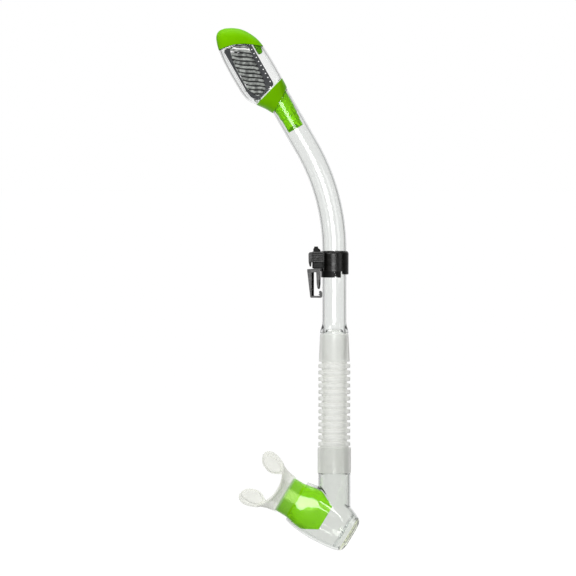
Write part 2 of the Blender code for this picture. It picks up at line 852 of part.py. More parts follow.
def make_purge_cover(look):
    outer = [
        (15.1, -18.8, 15.9, 13.9, 3.0),
        (17.0, -17.9, 15.0, 13.3, 3.0),
        (18.4, -16.0, 13.3, 11.9, 2.8),
        (19.3, -13.4, 10.9, 9.8, 2.6),
    ]
    inner = [
        (15.1, -17.4, 14.5, 12.5, 3.0),
        (16.4, -16.6, 13.7, 11.9, 3.0),
        (17.3, -14.8, 12.1, 10.6, 2.8),
        (17.9, -12.4, 10.0, 8.8, 2.6),
    ]
    loops = [chamber_ring(*row) for row in outer[::-1]] + [chamber_ring(*row) for row in inner]
    made = build("purge_cover", *skin(loops), look)
    slots = []
    for k in range(5):
        middle = PURGE_T + (k - 2) * 4.4
        outline = [(17, middle - 1), (21, middle - 1), (21, middle + 1), (17, middle + 1)]
        slots.append(prism(CHAMBER, outline, -7, 7))
    cut(made, "cover_slots", merged(slots))
    return made


def main():
    clear_scene()
    clear = {"roughness": 0.05, "alpha": 0.35, "transmission": 0.0}
    lime = material("lime_plastic", (0.2, 0.56, 0.0), 0.3)
    black = material("black_plastic", (0.02, 0.02, 0.018), 0.42)
    milky = (0.78, 0.8, 0.74)
    make_barrel(material("barrel_clear", (0.9, 0.93, 0.94), **clear))
    make_head_base(lime)
    make_housing(material("housing_clear", (0.9, 0.93, 0.94), **clear))
    make_cage(material("cage_grey", (0.1, 0.105, 0.11), 0.5))
    make_grilles(material("grille_grey", (0.32, 0.34, 0.32), 0.45))
    make_float(material("float_slate", (0.05, 0.055, 0.06), 0.6))
    make_float_seal(material("seal_rubber", (0.03, 0.03, 0.03), 0.8))
    make_cap(material("cap_lime", (0.2, 0.56, 0.0), 0.25))
    make_sleeve(material("sleeve_black", (0.015, 0.015, 0.014), 0.5))
    make_keeper_ring(black)
    make_button(material("button_black", (0.025, 0.025, 0.023), 0.4))
    make_hook(material("hook_black", (0.022, 0.022, 0.02), 0.38))
    make_hose(material("hose_silicone", milky, 0.45, alpha=0.9))
    make_chamber(material("chamber_clear", (0.9, 0.93, 0.94), **clear))
    make_adapter(material("adapter_lime", (0.2, 0.56, 0.0), 0.28))
    make_mouthpiece(material("mouthpiece_silicone", milky, 0.45, alpha=0.9))
    make_purge_seat(material("seat_clear", (0.85, 0.88, 0.88), 0.15, alpha=0.6))
    make_membrane(material("membrane_silicone", (0.75, 0.78, 0.72), 0.5, alpha=0.9))
    make_purge_cover(material("cover_clear", (0.82, 0.88, 0.68), 0.1, alpha=0.5))


main()
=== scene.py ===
"""Looks of the dry-top snorkel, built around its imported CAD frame.

Sizes are in millimetres in the CAD's drawing frame: Z up the straight barrel, X to the right
and Y to the back, with the origin where the hose axis meets the chamber axis. to_world turns
them into metres and moves the strap face to the origin.
"""

import math

import bmesh
import bpy
import numpy as np
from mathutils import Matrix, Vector


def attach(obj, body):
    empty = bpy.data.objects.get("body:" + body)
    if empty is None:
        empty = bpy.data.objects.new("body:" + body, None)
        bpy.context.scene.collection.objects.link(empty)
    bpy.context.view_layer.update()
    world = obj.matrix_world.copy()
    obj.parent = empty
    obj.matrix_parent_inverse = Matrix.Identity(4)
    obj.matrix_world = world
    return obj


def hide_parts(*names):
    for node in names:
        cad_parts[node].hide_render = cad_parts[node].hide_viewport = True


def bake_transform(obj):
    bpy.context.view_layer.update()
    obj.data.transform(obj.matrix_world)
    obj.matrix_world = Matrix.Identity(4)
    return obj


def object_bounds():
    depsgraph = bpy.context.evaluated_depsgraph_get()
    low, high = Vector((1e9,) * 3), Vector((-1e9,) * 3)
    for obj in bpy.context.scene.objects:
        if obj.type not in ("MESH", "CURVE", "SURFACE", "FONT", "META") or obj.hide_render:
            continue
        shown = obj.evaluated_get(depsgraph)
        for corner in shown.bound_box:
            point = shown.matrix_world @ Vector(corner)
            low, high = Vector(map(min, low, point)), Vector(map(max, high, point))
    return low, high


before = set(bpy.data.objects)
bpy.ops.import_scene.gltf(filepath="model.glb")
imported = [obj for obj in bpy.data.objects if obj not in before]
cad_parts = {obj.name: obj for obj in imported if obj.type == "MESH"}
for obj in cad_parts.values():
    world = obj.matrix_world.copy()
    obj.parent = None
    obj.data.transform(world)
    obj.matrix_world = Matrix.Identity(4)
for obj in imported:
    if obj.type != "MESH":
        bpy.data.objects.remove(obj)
cad_box = [list(corner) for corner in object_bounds()]

MM = 0.001
SIDES = 96
STRAP_FACE = np.array((-18.3, -8.5, 216.1))
GAP = 0.3

BARREL_R = 11.0
BARREL_BORE_R = 9.4
BEND_R = 184.5
BEND_ANGLE = math.radians(30)
BEND_START_Z = 246.5
TOP_STRAIGHT = 48.3
SEAM_SLOPE = 0.6
SPIGOT_BOTTOM_Z = 148.0
FLARE_Z = 171.6
FLARE_R = 12.8

HOSE_TOP_Z = FLARE_Z - GAP
HOSE_BOTTOM_Z = 45.8
RIB_COUNT = 13
RIB_TOP_Z = 146.2
RIB_PITCH = 5.85
RIB_THICK = 3.6
RIB_R = 14.4
GROOVE_R = 11.4
HOSE_BORE_R = 9.9

SLEEVE_R = (11.15, 11.95)
SLEEVE_SLOTS = ((0.4, 2.7, 0), (5.9, 12.5, 14))
RING_R = (12.1, 12.9)
RING_TOP_Z = 245.6
RING_BOTTOM_Z = 227.5
RING_SKIRT_Z = 224.6
HOOK_Y = (-11.5, -5.5)

SOCKET_R = 14.6
SOCKET_BORE_R = 12.8
SOCKET_TOP_Z = HOSE_BOTTOM_Z - GAP
PURGE_T = -1.2

SLOT_PITCH = 3.7
RIB_HALF = 1.22
GRILLE_Y = (9.1, 10.4)


def to_world(points):
    return (np.asarray(points, float) - STRAP_FACE) * MM


class Frame:
    """A flat frame in the XZ plane: a runs along its first axis, b along its second."""

    def __init__(self, x, z, tilt):
        self.x, self.z = x, z
        self.cos, self.sin = math.cos(tilt), math.sin(tilt)

    def at(self, a, b):
        return (self.x + a * self.cos - b * self.sin, self.z + a * self.sin + b * self.cos)

    def local(self, x, z):
        """The inverse of at."""
        x, z = x - self.x, z - self.z
        return (x * self.cos + z * self.sin, z * self.cos - x * self.sin)


PLAIN = Frame(0, 0, 0)
HEAD = Frame(
    BEND_R * (math.cos(BEND_ANGLE) - 1) - TOP_STRAIGHT * math.sin(BEND_ANGLE),
    BEND_START_Z + BEND_R * math.sin(BEND_ANGLE) + TOP_STRAIGHT * math.cos(BEND_ANGLE),
    BEND_ANGLE,
)
CHAMBER = Frame(0, 0, math.radians(-31))


# ---------------------------------------------------------------- curves and lofts


def soften(rows, reach, closed, steps=5):
    """Rows of numbers with each corner row replaced by a short curve.

    reach is how far the curve starts from the corner, one number or one for each row.
    """
    rows = [np.array(row, float) for row in rows]
    count = len(rows)
    reaches = reach if isinstance(reach, (list, tuple)) else [reach] * count
    made = []
    for k, here in enumerate(rows):
        if not closed and k in (0, count - 1):
            made.append(here)
            continue
        back = rows[k - 1] - here
        ahead = rows[(k + 1) % count] - here
        lengths = np.linalg.norm(back), np.linalg.norm(ahead)
        r = min(reaches[k], 0.48 * lengths[0], 0.48 * lengths[1])
        start, end = here + back * (r / lengths[0]), here + ahead * (r / lengths[1])
        for s in range(steps + 1):
            t = s / steps
            made.append((1 - t) ** 2 * start + 2 * t * (1 - t) * here + t * t * end)
    return made


def refine(rows, longest, closed):
    """Rows with extra ones put in, so that no step is longer than longest."""
    made = []
    count = len(rows)
    for k in range(count if closed else count - 1):
        here, ahead = rows[k], rows[(k + 1) % count]
        parts = max(1, math.ceil(np.linalg.norm(ahead - here) / longest))
        made += [here + (ahead - here) * (s / parts) for s in range(parts)]
    return made if closed else made + [rows[-1]]


def signed_power(values, exponent):
    return np.sign(values) * np.abs(values) ** exponent


def ring(where, left, right, depth, square=2.0, bulge=0.0):
    """A closed loop across a frame from left to right, depth is its half size in Y.

    square 2 is an ellipse and more is boxier. bulge lifts the middle along the frame's second axis.
    """
    angle = 2 * math.pi * np.arange(SIDES) / SIDES
    part = (1 + signed_power(np.cos(angle), 2 / square)) / 2
    a = left[0] + (right[0] - left[0]) * part
    b = left[1] + (right[1] - left[1]) * part + bulge * np.sin(math.pi * part)
    x, z = where.at(a, b)
    return np.stack([x, depth * signed_power(np.sin(angle), 2 / square), z], 1)


def head_loop(row):
    left_u, left_v, right_u, right_v, depth, square, bulge = row
    return ring(HEAD, (left_u, left_v), (right_u, right_v), depth, square, bulge)


def chamber_loop(row):
    along, low, high, depth, square = row
    return ring(CHAMBER, (along, low), (along, high), depth, square)


def turned_loop(row):
    z, radius = row
    return ring(PLAIN, (-radius, z), (radius, z), radius)


def barrel_loop(row):
    """A loop at a length along the barrel, slope tips its plane."""
    length, radius, slope = row
    if length <= BEND_START_Z:
        here = Frame(0, length, 0)
    else:
        angle = min((length - BEND_START_Z) / BEND_R, BEND_ANGLE)
        beyond = length - BEND_START_Z - angle * BEND_R
        here = Frame(
            BEND_R * (math.cos(angle) - 1) - beyond * math.sin(angle),
            BEND_START_Z + BEND_R * math.sin(angle) + beyond * math.cos(angle),
            angle,
        )
    return ring(here, (-radius, -radius * slope), (radius, radius * slope), radius)


def skin(loops, closed=False):
    """Points and faces over loops of equal count.

    closed joins the last loop to the first, otherwise both ends are capped.
    """
    count = len(loops[0])
    points = np.concatenate(loops)
    faces = []
    for k in range(len(loops) if closed else len(loops) - 1):
        start, after = k * count, (k + 1) % len(loops) * count
        for i in range(count):
            j = (i + 1) % count
            faces.append((start + i, start + j, after + j, after + i))
    if not closed:
        faces.append(tuple(range(count))[::-1])
        faces.append(tuple(range(len(points) - count, len(points))))
    return points, faces


def loft(rows, loop, reach, closed=False, longest=6.0):
    smooth = refine(soften(rows, reach, closed), longest, closed)
    return skin([loop(row) for row in smooth], closed)


def prism(where, outline, y_front, y_back):
    flat = [where.at(a, b) for a, b in outline]
    return skin([np.array([(x, y, z) for x, z in flat]) for y in (y_front, y_back)])


def box(x, y, z):
    return prism(PLAIN, [(x[0], z[0]), (x[1], z[0]), (x[1], z[1]), (x[0], z[1])], *y)


def box_in(where, a, y, b):
    return prism(where, [(a[0], b[0]), (a[1], b[0]), (a[1], b[1]), (a[0], b[1])], *y)


def rounded(outline, radius, steps=8):
    return [tuple(p) for p in soften(outline, radius, closed=True, steps=steps)]


def disc(a, b, radius, corners):
    turn = np.linspace(0, 2 * math.pi, corners + 1)[:-1]
    return [(a + radius * math.cos(t), b + radius * math.sin(t)) for t in turn]


def inset(outline, distance):
    """A counter-clockwise outline moved inward by distance."""
    made = []
    count = len(outline)
    for k, corner in enumerate(outline):
        here = Vector(corner)
        first = (here - Vector(outline[k - 1])).normalized()
        second = (Vector(outline[(k + 1) % count]) - here).normalized()
        normals = [Vector((-d.y, d.x)) for d in (first, second)]
        bisector = (normals[0] + normals[1]).normalized()
        made.append(tuple(here + bisector * distance / max(0.3, bisector.dot(normals[0]))))
    return made


def merged(shapes):
    points, faces, base = [], [], 0
    for shape_points, shape_faces in shapes:
        points.append(np.asarray(shape_points))
        faces += [tuple(base + i for i in face) for face in shape_faces]
        base += len(shape_points)
    return np.concatenate(points), faces


# ---------------------------------------------------------------- objects


def to_object(name, shape):
    points, faces = shape
    mesh = bpy.data.meshes.new(name)
    mesh.from_pydata(to_world(points).tolist(), [], faces)
    work = bmesh.new()
    work.from_mesh(mesh)
    bmesh.ops.recalc_face_normals(work, faces=work.faces)
    if work.calc_volume(signed=True) < 0:
        bmesh.ops.reverse_faces(work, faces=work.faces)
    work.to_mesh(mesh)
    work.free()
    made = bpy.data.objects.new(name, mesh)
    bpy.context.scene.collection.objects.link(made)
    return made


def bake(target):
    """Applies every modifier."""
    graph = bpy.context.evaluated_depsgraph_get()
    mesh = bpy.data.meshes.new_from_object(target.evaluated_get(graph))
    target.modifiers.clear()
    target.data = mesh


def combine(target, shape, operation):
    """Adds or cuts away a shape and applies the result."""
    other = to_object("tool", shape)
    step = target.modifiers.new("combine", "BOOLEAN")
    step.object = other
    step.operation = operation
    step.solver = "EXACT"
    bake(target)
    bpy.data.objects.remove(other, do_unlink=True)


def cut(target, shape):
    combine(target, shape, "DIFFERENCE")


def join(target, shape):
    combine(target, shape, "UNION")


def add_shells(target, shape):
    """Adds shapes to an object as they are, with no Boolean."""
    other = to_object("shells", shape)
    work = bmesh.new()
    work.from_mesh(target.data)
    work.from_mesh(other.data)
    work.to_mesh(target.data)
    work.free()
    bpy.data.objects.remove(other, do_unlink=True)


def melt(target, voxel, rounds):
    """Turns sharp moulded edges into small soft ones."""
    remesh = target.modifiers.new("melt", "REMESH")
    remesh.mode = "VOXEL"
    remesh.voxel_size = voxel * MM
    smooth = target.modifiers.new("relax", "SMOOTH")
    smooth.iterations = rounds
    smooth.factor = 0.5
    bake(target)


def dress(target, node, body, look, sharp_angle=None):
    """Shades a piece, gives it its material and hands it to the frame in place of its CAD node."""
    target.data.materials.clear()
    target.data.materials.append(look)
    target.data.shade_smooth()
    if sharp_angle:
        target.data.set_sharp_from_angle(angle=math.radians(sharp_angle))
        even = target.modifiers.new("even_normals", "WEIGHTED_NORMAL")
        even.weight = 100
        even.keep_sharp = True
        bake(target)
    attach(target, body)
    if node:
        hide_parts(node)


def second_look(target, look, inside):
    """Gives the faces whose centre lies inside a region another material."""
    target.data.materials.append(look)
    for face in target.data.polygons:
        face.material_index = int(inside(*(np.array(face.center) / MM + STRAP_FACE)))


# ---------------------------------------------------------------- material nodes


def add_node(tree, kind, settings=None, **inputs):
    made = tree.nodes.new(kind)
    for name, value in (settings or {}).items():
        setattr(made, name, value)
    for name, value in inputs.items():
        socket = made.inputs[name.replace("_", " ")]
        if isinstance(value, bpy.types.NodeSocket):
            tree.links.new(value, socket)
        else:
            socket.default_value = value
    return made


def new_look(name):
    made = bpy.data.materials.new(name)
    made.use_nodes = True
    return made, made.node_tree, made.node_tree.nodes["Principled BSDF"]


def place(tree, scale):
    """Object coordinates in millimetres, stretched by scale."""
    coordinate = add_node(tree, "ShaderNodeTexCoord")
    mapped = add_node(tree, "ShaderNodeMapping")
    tree.links.new(coordinate.outputs["Object"], mapped.inputs["Vector"])
    scales = scale if isinstance(scale, tuple) else (scale, scale, scale)
    mapped.inputs["Scale"].default_value = [s / MM for s in scales]
    return mapped.outputs["Vector"]


def noise(tree, vector, scale, detail, roughness=0.5):
    inputs = {"Vector": vector, "Scale": scale, "Detail": detail, "Roughness": roughness}
    return add_node(tree, "ShaderNodeTexNoise", **inputs).outputs["Fac"]


def remap(tree, value, low, high, from_low=0.3, from_high=0.7):
    made = add_node(tree, "ShaderNodeMapRange")
    tree.links.new(value, made.inputs["Value"])
    numbers = {"From Min": from_low, "From Max": from_high, "To Min": low, "To Max": high}
    for name, number in numbers.items():
        made.inputs[name].default_value = number
    return made.outputs["Result"]


def mix_colour(tree, factor, first, second):
    made = add_node(tree, "ShaderNodeMix", {"data_type": "RGBA"})
    for socket, value in ((made.inputs[0], factor), (made.inputs[6], first), (made.inputs[7], second)):
        if isinstance(value, bpy.types.NodeSocket):
            tree.links.new(value, socket)
        elif isinstance(value, (int, float)):
            socket.default_value = value
        else:
            socket.default_value = (*value, 1)
    return made.outputs[2]


def calculate(tree, operation, first, second=None):
    made = add_node(tree, "ShaderNodeMath", {"operation": operation})
    tree.links.new(first, made.inputs[0])
    if second is not None:
        tree.links.new(second, made.inputs[1])
    return made.outputs["Value"]


def mix_shaders(tree, factor, first, second):
    made = add_node(tree, "ShaderNodeMixShader", Fac=factor)
    tree.links.new(first, made.inputs[1])
    tree.links.new(second, made.inputs[2])
    return made.outputs["Shader"]


def bump(tree, shader, height, strength, distance_mm):
    inputs = {"Strength": strength, "Distance": distance_mm * MM, "Height": height}
    made = add_node(tree, "ShaderNodeBump", **inputs)
    tree.links.new(made.outputs["Normal"], shader.inputs["Normal"])


def let_light_through(tree, shader):
    """Shadow rays pass a clear piece, dimmed a little."""
    passed = 0.9
    path = add_node(tree, "ShaderNodeLightPath")
    through = add_node(tree, "ShaderNodeBsdfTransparent", Color=(passed, passed, passed, 1))
    in_shadow = path.outputs["Is Shadow Ray"]
    mixed = mix_shaders(tree, in_shadow, shader.outputs["BSDF"], through.outputs["BSDF"])
    tree.links.new(mixed, tree.nodes["Material Output"].inputs["Surface"])


def clear_look(name, middle, edge, roughness, streaks=1.0):
    """Clear moulded plastic, paler in the middle, with painted shade: its colour greys where it is seen
    edge on.
    """
    made, tree, shader = new_look(name)
    # Painted shade: the colour is mixed towards the grey edge colour where the surface is seen edge on.
    facing = add_node(tree, "ShaderNodeLayerWeight", Blend=0.35).outputs["Facing"]
    depth = remap(tree, facing, 0.0, 1.0, 0.35, 0.98)
    tree.links.new(mix_colour(tree, depth, middle, edge), shader.inputs["Base Color"])
    flow = noise(tree, place(tree, (0.12, 0.12, 0.01)), 1.0, 1.0)
    tree.links.new(remap(tree, flow, roughness, roughness + 0.03 * streaks), shader.inputs["Roughness"])
    shader.inputs["Transmission Weight"].default_value = 1.0
    shader.inputs["IOR"].default_value = 1.46
    bump(tree, shader, flow, 0.04 * streaks, 0.2)
    let_light_through(tree, shader)
    return made


def silicone_look(name, milk, clear_share, edge_share, glow, by_milk=False):
    """Milky silicone: light goes straight through it in part, and less so where it is seen edge on.

    glow is painted light: the silicone gives off light of its own colour in place of light
    scattered inside it. Its colour is also darker where it is seen edge on, as painted shade.
    With by_milk it is clearer where the mesh's milk attribute is low.
    """
    cloud_tone = 0.96
    painted_edge_shade_tone = 0.72
    roughness = 0.35
    made, tree, shader = new_look(name)
    cloud = noise(tree, place(tree, 0.12), 1.0, 4.0, 0.6)
    facing = add_node(tree, "ShaderNodeLayerWeight", Blend=0.45).outputs["Facing"]
    base = mix_colour(tree, remap(tree, cloud, 0, 1), milk, [c * cloud_tone for c in milk])
    turned = remap(tree, facing, 0, 0.8, 0.35, 1.0)
    # Painted shade: the colour darkens where the surface is seen edge on.
    edge = mix_colour(tree, turned, base, [c * painted_edge_shade_tone for c in milk])
    # Painted light: the silicone emits its own colour as glow.
    shader.inputs["Emission Strength"].default_value = glow
    tree.links.new(edge, shader.inputs["Emission Color"])
    tree.links.new(edge, shader.inputs["Base Color"])
    tree.links.new(remap(tree, cloud, roughness - 0.05, roughness + 0.08), shader.inputs["Roughness"])
    shader.inputs["Specular IOR Level"].default_value = 0.5
    share = remap(tree, facing, 1 - clear_share, 1 - edge_share, 0.1, 0.9)
    if by_milk:
        milkiness = add_node(tree, "ShaderNodeAttribute", {"attribute_name": "milk"}).outputs["Fac"]
        strength = remap(tree, milkiness, 0.05, 1.0, 0.0, 1.0)
        share = calculate(tree, "MULTIPLY", share, strength)
    tree.links.new(share, shader.inputs["Alpha"])
    bump(tree, shader, cloud, 0.1, 0.3)
    return made


def gloss_look(name, colour, deep, roughness, shine, tint=(0.75, 1.0, 0.35)):
    """Glossy dyed plastic with slight flow marks, and painted shade: a deeper tone where the surface
    turns away from the viewer.
    """
    made, tree, shader = new_look(name)
    flow = noise(tree, place(tree, (0.06, 0.2, 0.06)), 1.0, 3.0)
    facing = add_node(tree, "ShaderNodeLayerWeight", Blend=0.3).outputs["Facing"]
    base = mix_colour(tree, remap(tree, flow, 0, 0.35), colour, deep)
    # Painted shade: the colour deepens where the surface is seen edge on.
    turned = mix_colour(tree, remap(tree, facing, 0, 0.75, 0.3, 1.0), base, deep)
    tree.links.new(turned, shader.inputs["Base Color"])
    tree.links.new(remap(tree, flow, roughness, roughness + 0.08), shader.inputs["Roughness"])
    shader.inputs["Specular IOR Level"].default_value = shine
    shader.inputs["Specular Tint"].default_value = (*tint, 1)
    bump(tree, shader, noise(tree, place(tree, 1.2), 1.0, 2.0), 0.03, 0.1)
    return made


def satin_look(name, colour, worn, roughness, grain_depth=0.06, shine=0.3):
    """Satin moulded plastic with spark-eroded grain and edges rubbed paler."""
    grain_scale = 5.0
    made, tree, shader = new_look(name)
    where = place(tree, 1.0)
    grain = noise(tree, where, grain_scale, 4.0, 0.6)
    patch = noise(tree, where, 0.25, 3.0)
    point = add_node(tree, "ShaderNodeNewGeometry").outputs["Pointiness"]
    edge = remap(tree, point, 0.0, 0.6, 0.53, 0.6)
    base = mix_colour(tree, remap(tree, patch, 0, 0.6), colour, [c * 1.5 for c in colour])
    tree.links.new(mix_colour(tree, edge, base, worn), shader.inputs["Base Color"])
    tree.links.new(remap(tree, patch, roughness - 0.06, roughness + 0.1), shader.inputs["Roughness"])
    shader.inputs["Specular IOR Level"].default_value = shine
    bump(tree, shader, grain, 0.25, grain_depth)
    return made


def ribbed_look(name, painted_plate_shade, rib):
    """Satin plastic, pale grey on the louvre bars, with painted shade on the plate that carries them: the
    plate is near-black though it is moulded with the bars. The bars darken in random patches.
    """
    made, tree, shader = new_look(name)
    where = place(tree, 1.0)
    patch = noise(tree, where, 0.35, 3.0)
    on_rib = add_node(tree, "ShaderNodeAttribute", {"attribute_name": "rib"}).outputs["Fac"]
    worn = mix_colour(tree, remap(tree, patch, 0, 1.0, 0.35, 0.6), rib, [c * 0.35 for c in rib])
    # Painted shade: the plate, which has no rib attribute, is near-black.
    tree.links.new(mix_colour(tree, on_rib, painted_plate_shade, worn), shader.inputs["Base Color"])
    tree.links.new(remap(tree, patch, 0.3, 0.45), shader.inputs["Roughness"])
    shader.inputs["Specular IOR Level"].default_value = 0.3
    bump(tree, shader, noise(tree, where, 3.0, 3.0), 0.2, 0.04)
    return made


LIME = (0.240, 0.690, 0.0)
LIME_DEEP = (0.150, 0.560, 0.0)
# The tongue is the cap's own lime; these darker tones are painted shade, for the tongue sitting in shade
# inside the clear housing.
TONGUE_PAINTED_SHADE = (0.075, 0.28, 0.0)
TONGUE_PAINTED_SHADE_DEEP = (0.045, 0.19, 0.0)
looks = {
    "barrel": clear_look("barrel_clear", (0.935, 0.945, 0.935), (0.46, 0.50, 0.49), 0.02, 0.5),
    "housing": clear_look("housing_clear", (0.985, 0.99, 0.985), (0.60, 0.63, 0.64), 0.02, 0.3),
    "chamber": clear_look("chamber_clear", (0.86, 0.875, 0.85), (0.40, 0.45, 0.45), 0.02, 0.3),
    "cover": clear_look("cover_tinted_clear", (0.93, 0.96, 0.83), (0.62, 0.68, 0.50), 0.08),
    "cap": gloss_look("cap_lime", LIME, LIME_DEEP, 0.5, 0.1, (0.4, 0.8, 0.0)),
    "tongue": gloss_look("tongue_lime_painted_shade", TONGUE_PAINTED_SHADE, TONGUE_PAINTED_SHADE_DEEP, 0.4, 0.1, (0.4, 0.8, 0.0)),
    "base": gloss_look("base_lime", LIME, LIME_DEEP, 0.25, 0.3, (0.5, 0.9, 0.1)),
    "adapter": gloss_look("adapter_lime", [c * 1.12 for c in LIME], LIME, 0.1, 0.75),
    "hose": silicone_look("hose_silicone", (0.91, 0.92, 0.88), 0.72, 0.15, 0.14),
    "mouthpiece": silicone_look("mouthpiece_silicone", (0.91, 0.92, 0.85), 0.52, 0.1, 0.14, by_milk=True),
    "membrane": silicone_look("membrane_silicone", (0.90, 0.92, 0.88), 0.6, 0.2, 0.3),
    "ring": satin_look("ring_black", (0.007, 0.007, 0.006), (0.06, 0.06, 0.056), 0.26, 0.01, 0.5),
    "receiver": satin_look("receiver_black", (0.012, 0.012, 0.011), (0.10, 0.10, 0.095), 0.3, 0.02, 0.5),
    "sleeve": satin_look("sleeve_black", (0.006, 0.007, 0.006), (0.04, 0.045, 0.042), 0.4, 0.03, 0.25),
    "hook": satin_look("hook_black", (0.006, 0.006, 0.005), (0.08, 0.08, 0.075), 0.26, 0.02, 0.6),
    "button": satin_look("button_black", (0.006, 0.006, 0.005), (0.05, 0.05, 0.046), 0.4, shine=0.15),
    "grille": ribbed_look("grille_grey", (0.028, 0.032, 0.036), (0.58, 0.61, 0.58)),
    "cage": satin_look("cage_slate", (0.06, 0.066, 0.07), (0.14, 0.15, 0.155), 0.4),
    "float": satin_look("float_slate", (0.012, 0.013, 0.015), (0.03, 0.03, 0.03), 0.55),
    "seal": satin_look("seal_rubber", (0.012, 0.012, 0.012), (0.03, 0.03, 0.03), 0.7),
    "seat": clear_look("seat_clear", (0.93, 0.95, 0.95), (0.55, 0.6, 0.62), 0.12),
}


# ---------------------------------------------------------------- barrel


def make_barrel():
    top = BEND_START_Z + BEND_R * BEND_ANGLE + TOP_STRAIGHT
    rows, reaches = [(SPIGOT_BOTTOM_Z, 10.2, 0)], [0.3]
    for barb in range(3):
        low = SPIGOT_BOTTOM_Z + 1.2 + barb * 6.4
        rows += [(low, 10.9, 0), (low + 4.6, 10.3, 0)]
        reaches += [0.2, 0.3]
    rows += [
        (FLARE_Z, 10.3, 0),
        (FLARE_Z, FLARE_R, 0),
        (FLARE_Z + 2.4, FLARE_R - 0.2, 0),
        (FLARE_Z + 6.6, BARREL_R + 0.2, 0),
        (FLARE_Z + 9.0, BARREL_R, 0),
        (top - 9, BARREL_R, 0),
        (top, BARREL_R, SEAM_SLOPE),
        (top, BARREL_BORE_R, SEAM_SLOPE),
        (top - 9, BARREL_BORE_R, 0),
        (SPIGOT_BOTTOM_Z, BARREL_BORE_R, 0),
    ]
    reaches += [0.15, 0.45, 1.5, 2.0, 1.5, 2.0, 0.25, 0.25, 2.0, 0.3]
    made = to_object("clear_barrel", loft(rows, barrel_loop, reaches, closed=True, longest=5.0))
    nib = rounded([(-6.8, 268.2), (-5.0, 268.2), (-5.0, 275.0), (-6.8, 275.0)], 0.85)
    join(made, prism(PLAIN, nib, -10.4, -8.9))
    dress(made, "barrel", "tube", looks["barrel"], 40)


# ---------------------------------------------------------------- dry-top head


def plug_row(height, left, right):
    return (-left, height, right, height, (left + right) / 2, 2.0, 0.0)


def make_head_base():
    rows = [
        plug_row(-28.8, 7.2, 7.0),
        plug_row(-28.0, 7.5, 7.4),
        plug_row(-22.1, 7.5, 7.4),
        plug_row(-21.9, 7.5, 8.0),
        plug_row(-16.1, 7.5, 8.0),
        plug_row(-15.9, 8.1, 8.6),
        plug_row(-10.1, 8.1, 8.6),
        plug_row(-9.9, 8.2, 9.0),
        (-8.9, -5.3 + GAP, 9.0, 5.4 + GAP, 9.0, 2.0, 0.0),
        (-11.2, -6.7 + GAP, 11.2, 6.7 + GAP, 11.2, 2.0, 0.0),
        (-12.9, -3.2, 11.7, 8.7, 11.7, 2.2, 0.0),
        (-15.0, 0.5, 11.9, 11.1, 12.5, 2.6, 0.0),
        (-17.7, 4.1, 11.95, 14.0, 13.3, 3.1, 0.0),
        (-20.2, 7.7, 11.95, 16.85, 14.0, 3.6, 0.0),
        (-18.5, 8.16, 10.4, 16.4, 12.4, 3.6, 0.0),
        (-15.9, 5.9, 10.3, 13.6, 11.6, 3.1, 0.0),
        (-12.6, 2.6, 10.0, 10.6, 10.2, 2.6, 0.0),
        (-8.6, -2.0, 8.6, 6.0, 8.2, 2.1, 0.0),
        (-6.1, -6.0, 6.1, 0.0, 6.1, 2.0, 0.0),
        plug_row(-12.0, 6.0, 6.0),
        plug_row(-28.8, 6.0, 6.0),
    ]
    reaches = [0.3, 0.5] + [0.25] * 6 + [0.3, 0.35, 3, 3, 3, 0.35, 0.35, 3, 3, 3, 3, 3, 0.4]
    made = to_object("head_collar", loft(rows, head_loop, reaches, closed=True))
    scoop = [(-9.0, -30.0), (-7.3, -28.6), (-4.6, -26.0), (0.5, -24.6), (2.6, -25.6), (3.4, -30.0)]
    cut(made, prism(HEAD, rounded(scoop, 1.5), -12, -2))
    cut(made, box_in(HEAD, (4.9, 5.2), (-12, 12), (-30, -12)))
    dress(made, "head_base", "tube", looks["base"])


# each row: left u and v, right u and v, half depth, squareness, bulge
HOUSING_ROWS = [
    (-20.3, 8.1, 11.95, 17.15, 14.0, 3.6, 0.0),
    (-23.7, 12.2, 12.2, 19.6, 14.4, 4.1, 0.0),
    (-25.8, 16.5, 12.3, 22.4, 14.6, 4.2, 0.0),
    (-26.8, 24.1, 12.4, 28.0, 14.7, 4.0, 0.0),
    (-27.1, 40.3, 12.3, 38.5, 14.8, 4.0, 0.0),
    (-26.9, 50.0, 12.1, 43.5, 14.8, 4.0, 0.6),
    (-26.4, 57.5, 11.9, 46.5, 14.7, 4.0, 1.8),
    (-25.7, 63.0, 11.8, 48.6, 14.5, 4.0, 3.2),
    (-24.95, 66.9, 11.6, 49.9, 14.3, 4.0, 4.2),
]
CAGE_OUTLINE = [
    (-15.6, 10.2),
    (2.0, 15.4),
    (3.0, 17.4),
    (3.0, 56.2),
    (-2.4, 60.6),
    (-10.0, 64.2),
    (-19.8, 65.0),
    (-21.6, 62.6),
    (-21.9, 22.5),
    (-21.0, 16.2),
    (-18.4, 11.4),
]
WINDOW_OUTLINE = [
    (-15.0, 11.6),
    (1.6, 16.3),
    (3.4, 18.0),
    (3.4, 55.4),
    (-2.4, 59.6),
    (-10.0, 63.2),
    (-19.8, 64.0),
    (-22.2, 62.0),
    (-22.5, 22.5),
    (-21.6, 16.8),
    (-18.8, 12.6),
]
LOUVRE_FIELD = [
    (-14.4, 13.2),
    (-6.0, 15.4),
    (-3.0, 23.6),
    (-0.2, 57.3),
    (-3.2, 59.4),
    (-10.4, 62.9),
    (-15.8, 62.8),
    (-18.4, 54.0),
    (-19.9, 43.5),
    (-20.1, 25.0),
    (-17.4, 16.6),
]


def narrower(row, wall):
    left_u, left_v, right_u, right_v, depth, square, bulge = row
    slope = (right_v - left_v) / (right_u - left_u)
    return (
        left_u + wall,
        left_v + wall * slope,
        right_u - wall,
        right_v - wall * slope,
        depth - wall,
        square,
        bulge,
    )


